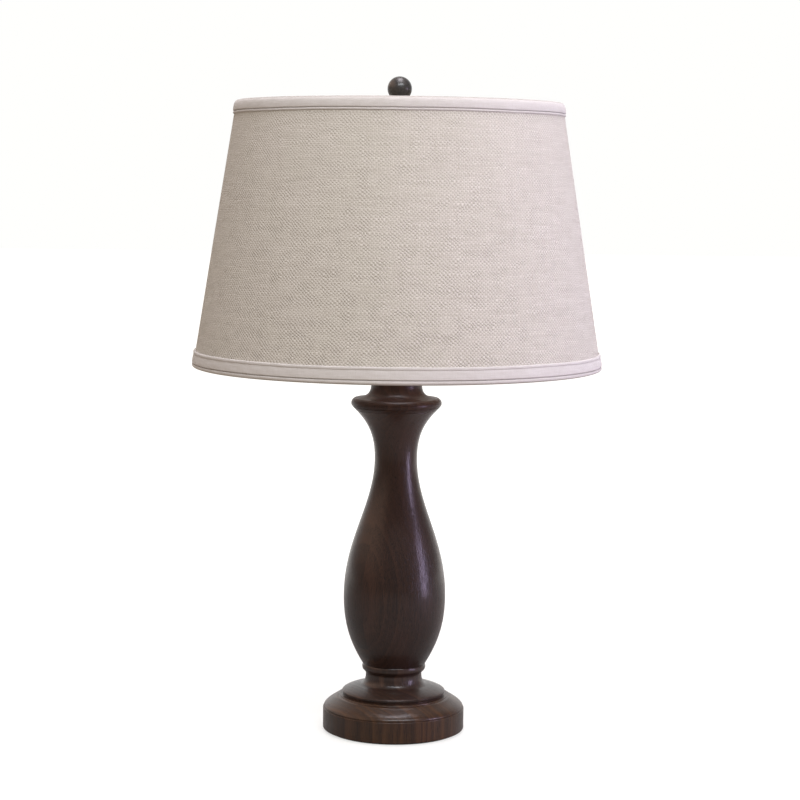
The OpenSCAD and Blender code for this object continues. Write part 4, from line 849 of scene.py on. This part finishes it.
def globe_side(inset):
    """The globe's outline from its foot to its top, moved in by the glass or not."""
    r, foot_r = GLOBE_R - inset, GLOBE_FOOT_R - inset
    c, s = math.cos(math.radians(-30)), math.sin(math.radians(-30))
    join = np.array([r * c, GLOBE_Z + r * s])
    outline = joined(
        [[0, GLOBE_FOOT_Z + inset], [foot_r, GLOBE_FOOT_Z + inset]],
        bezier([foot_r, 446.6], [13.5 - inset, 458.3], join - 12 * np.array([-s, c]), join, 30),
        arc(0, GLOBE_Z, r, -27, 90, 40),
    )
    outline[-1, 0] = 0
    return eased(outline, 1.0, False)


outer_v, outer_f = revolved(globe_side(0), 128)
inner_v, inner_f = revolved(globe_side(GLASS), 128)
inner_f = [[i + len(outer_v) for i in f[::-1]] for f in inner_f]
globe = piece("glass_globe", np.vstack([outer_v, inner_v]), outer_f + inner_f,
              "bulb", GLASS_LOOK)
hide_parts("bulb_globe")

# ------------------------------------------------------------------ turn knob
knob_rows = [  # distance from its face, half width, half thickness, flute depth
    (6.5, 0, 0, 0), (6.5, 1.6, 1.6, 0), (0.3, 1.6, 1.6, 0), (0.0, 1.9, 1.9, 0), (0.0, 4.3, 4.3, 0),
    (0.35, 4.7, 4.7, 0.5), (0.7, 4.8, 4.8, 1), (2.3, 4.8, 4.8, 1), (2.7, 4.7, 4.7, 0.5), (3.0, 4.4, 4.2, 0),
    (3.4, 4.3, 3.0, 0), (4.2, 4.5, 2.2, 0), (5.5, 4.7, 1.9, 0), (7.5, 4.8, 1.8, 0), (10.0, 4.75, 1.8, 0),
    (11.6, 4.3, 1.75, 0), (12.5, 3.5, 1.5, 0), (12.9, 2.4, 1.0, 0), (13.0, 0, 0, 0),
]
knob_count = 96
theta = np.arange(knob_count) * 2 * math.pi / knob_count
c, s = np.cos(theta), np.sin(theta)
knob_points = []
for depth, wide, thick, flute in knob_rows[1:-1]:
    square = 2.0 + 1.4 * min(1.0, (wide - thick) / 2)
    size = (np.abs(c) ** square + np.abs(s) ** square) ** (-1 / square)
    groove = 1 - 0.035 * flute * (0.5 + 0.5 * np.cos(24 * theta))
    ring = [wide * size * c * groove, 0 * c - KNOB_Y - depth, thick * size * s * groove]
    knob_points.append(np.stack(ring, -1))
grid = np.array(knob_points).transpose(1, 0, 2)
ends = [[0, -KNOB_Y - knob_rows[k][0], 0] for k in (0, -1)]
verts = np.vstack([grid.reshape(-1, 3), ends]) + [0, 0, SWITCH_Z]
faces = quads(knob_count, grid.shape[1], True, False) + fans(knob_count, grid.shape[1])
faces = outward(verts - verts.mean(0), faces)
knob = piece("paddle_knob", verts, faces, "switch", PLASTIC)
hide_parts("switch_knob")


# ------------------------------------------------------------------ floor, world and lamps
AMBIENT = 0.5
FLOOR_HALF, FLOOR_Z = 15, -0.0003
PAPER = (1, 1, 0.985, 1)


def stage_plane(name, half):
    """A level square."""
    mesh = bpy.data.meshes.new(name)
    mesh.from_pydata([(-half, -half, 0), (half, -half, 0), (half, half, 0), (-half, half, 0)],
                     [], [(0, 1, 2, 3)])
    obj = bpy.data.objects.new(name, mesh)
    scene.collection.objects.link(obj)
    return obj


floor = stage_plane("floor", FLOOR_HALF)
floor.location.z = FLOOR_Z
# white to the camera, and behind the lamp to mirrors too, but no light on the object; seen from
# below it is clear
floor_look = Look("floor", Roughness=0.9, Specular_IOR_Level=0.0)
floor_look.to("Base Color", (0.36, 0.36, 0.355, 1))
tree = floor_look.tree
x, y, _ = floor_look.place()
behind = floor_look.scaled(y, 200, 1500, 0.0, 1.0, smooth=True)
away = floor_look.math("SQRT", floor_look.add(floor_look.mul(x, x), floor_look.mul(y, y)))
path = tree.nodes.new("ShaderNodeLightPath")
mirror = floor_look.math("MAXIMUM", path.outputs["Is Glossy Ray"], path.outputs["Is Transmission Ray"])
seen = floor_look.math("MAXIMUM", path.outputs["Is Camera Ray"], floor_look.mul(mirror, behind))
floor_look.to("Emission Color", PAPER)
floor_look.to("Emission Strength", floor_look.mul(seen, floor_look.scaled(away, 300, 1500, 0.65, 1.0)))
clear = tree.nodes.new("ShaderNodeBsdfTransparent")
side = tree.nodes.new("ShaderNodeNewGeometry")
blend = tree.nodes.new("ShaderNodeMixShader")
open_side = floor_look.math("MAXIMUM", side.outputs["Backfacing"], path.outputs["Is Diffuse Ray"])
tree.links.new(open_side, blend.inputs[0])
tree.links.new(floor_look.shader.outputs[0], blend.inputs[1])
tree.links.new(clear.outputs[0], blend.inputs[2])
tree.links.new(blend.outputs[0], floor_look.out.inputs["Surface"])
floor.data.materials.append(floor_look.material)

world = bpy.data.worlds.new("studio")
scene.world = world
world.use_nodes = True
world.node_tree.nodes.clear()


def world_node(kind, *values, **settings):
    """A node of the world, with its inputs in order as numbers or sockets."""
    node = world.node_tree.nodes.new(kind)
    for key, value in settings.items():
        setattr(node, key, value)
    for socket, value in zip(node.inputs, values):
        if isinstance(value, bpy.types.NodeSocket):
            world.node_tree.links.new(value, socket)
        else:
            socket.default_value = value
    return node.outputs


def smooth(*values):
    """A direction's range from low to high, mapped to another with soft ends."""
    return world_node("ShaderNodeMapRange", *values, interpolation_type="SMOOTHSTEP")[0]


path = world_node("ShaderNodeLightPath")
mirror = world_node("ShaderNodeMath", path["Is Glossy Ray"], path["Is Transmission Ray"],
                    operation="MAXIMUM")[0]
way = world_node("ShaderNodeSeparateXYZ", world_node("ShaderNodeTexCoord")["Generated"])
# mirrors see white behind the lamp and a warm, dim wall at its left; all else gets a warm light
behind = smooth(way["Y"], 0.4, 0.95, 0.2, 1.0)
left = smooth(way["X"], -0.3, -0.9, 0.0, 1.4)
rise = smooth(way["Z"], -0.02, 0.5, 0.0, 1.0)
left = world_node("ShaderNodeMath", left, rise, operation="MULTIPLY")[0]
white = world_node("ShaderNodeBackground", PAPER, 1.0)[0]
at_back = world_node("ShaderNodeBackground", (1, 1, 1, 1), behind)[0]
at_left = world_node("ShaderNodeBackground", (1.0, 0.68, 0.52, 1), left)[0]
reflected = world_node("ShaderNodeAddShader", at_back, at_left)[0]
ambient = world_node("ShaderNodeBackground", (1.0, 0.85, 0.72, 1), AMBIENT)[0]
unseen = world_node("ShaderNodeMixShader", mirror, ambient, reflected)[0]
sky = world_node("ShaderNodeMixShader", path["Is Camera Ray"], unseen, white)[0]
world_node("ShaderNodeOutputWorld", sky)


AIM = Vector((0, 0, 0.3))


def lamp(name, bearing, height, distance, wide, tall, power, colour):
    """Soft box: bearing is from the front towards +X and height above the horizon, in degrees."""
    data = bpy.data.lights.new(name, "AREA")
    data.shape = "RECTANGLE"
    data.size, data.size_y, data.energy, data.color = wide, tall, power, colour
    obj = bpy.data.objects.new(name, data)
    scene.collection.objects.link(obj)
    b, h = math.radians(bearing), math.radians(height)
    way = Vector((math.sin(b) * math.cos(h), -math.cos(b) * math.cos(h), math.sin(h)))
    obj.location = AIM + way * distance
    obj.rotation_mode = "QUATERNION"
    obj.rotation_quaternion = way.to_track_quat("Z", "Y")
    return obj


lamp("key", 71, 1, 1.4, 0.32, 0.8, 8.2, (0.78, 0.66, 1.0))
lamp("side", 98, 4, 1.6, 1.4, 1.2, 7.4, (0.66, 0.80, 1.0)).visible_glossy = False
lamp("front_top", 12, 46, 2.6, 1.9, 0.5, 40, (0.90, 0.945, 1.0))
lamp("overhead", 90, 87.3, 2.1, 1.3, 0.9, 33, (0.97, 0.93, 1.0))
lamp("back", 183, 34, 2.8, 2.4, 1.6, 17, (0.92, 0.96, 1.0)).visible_glossy = False
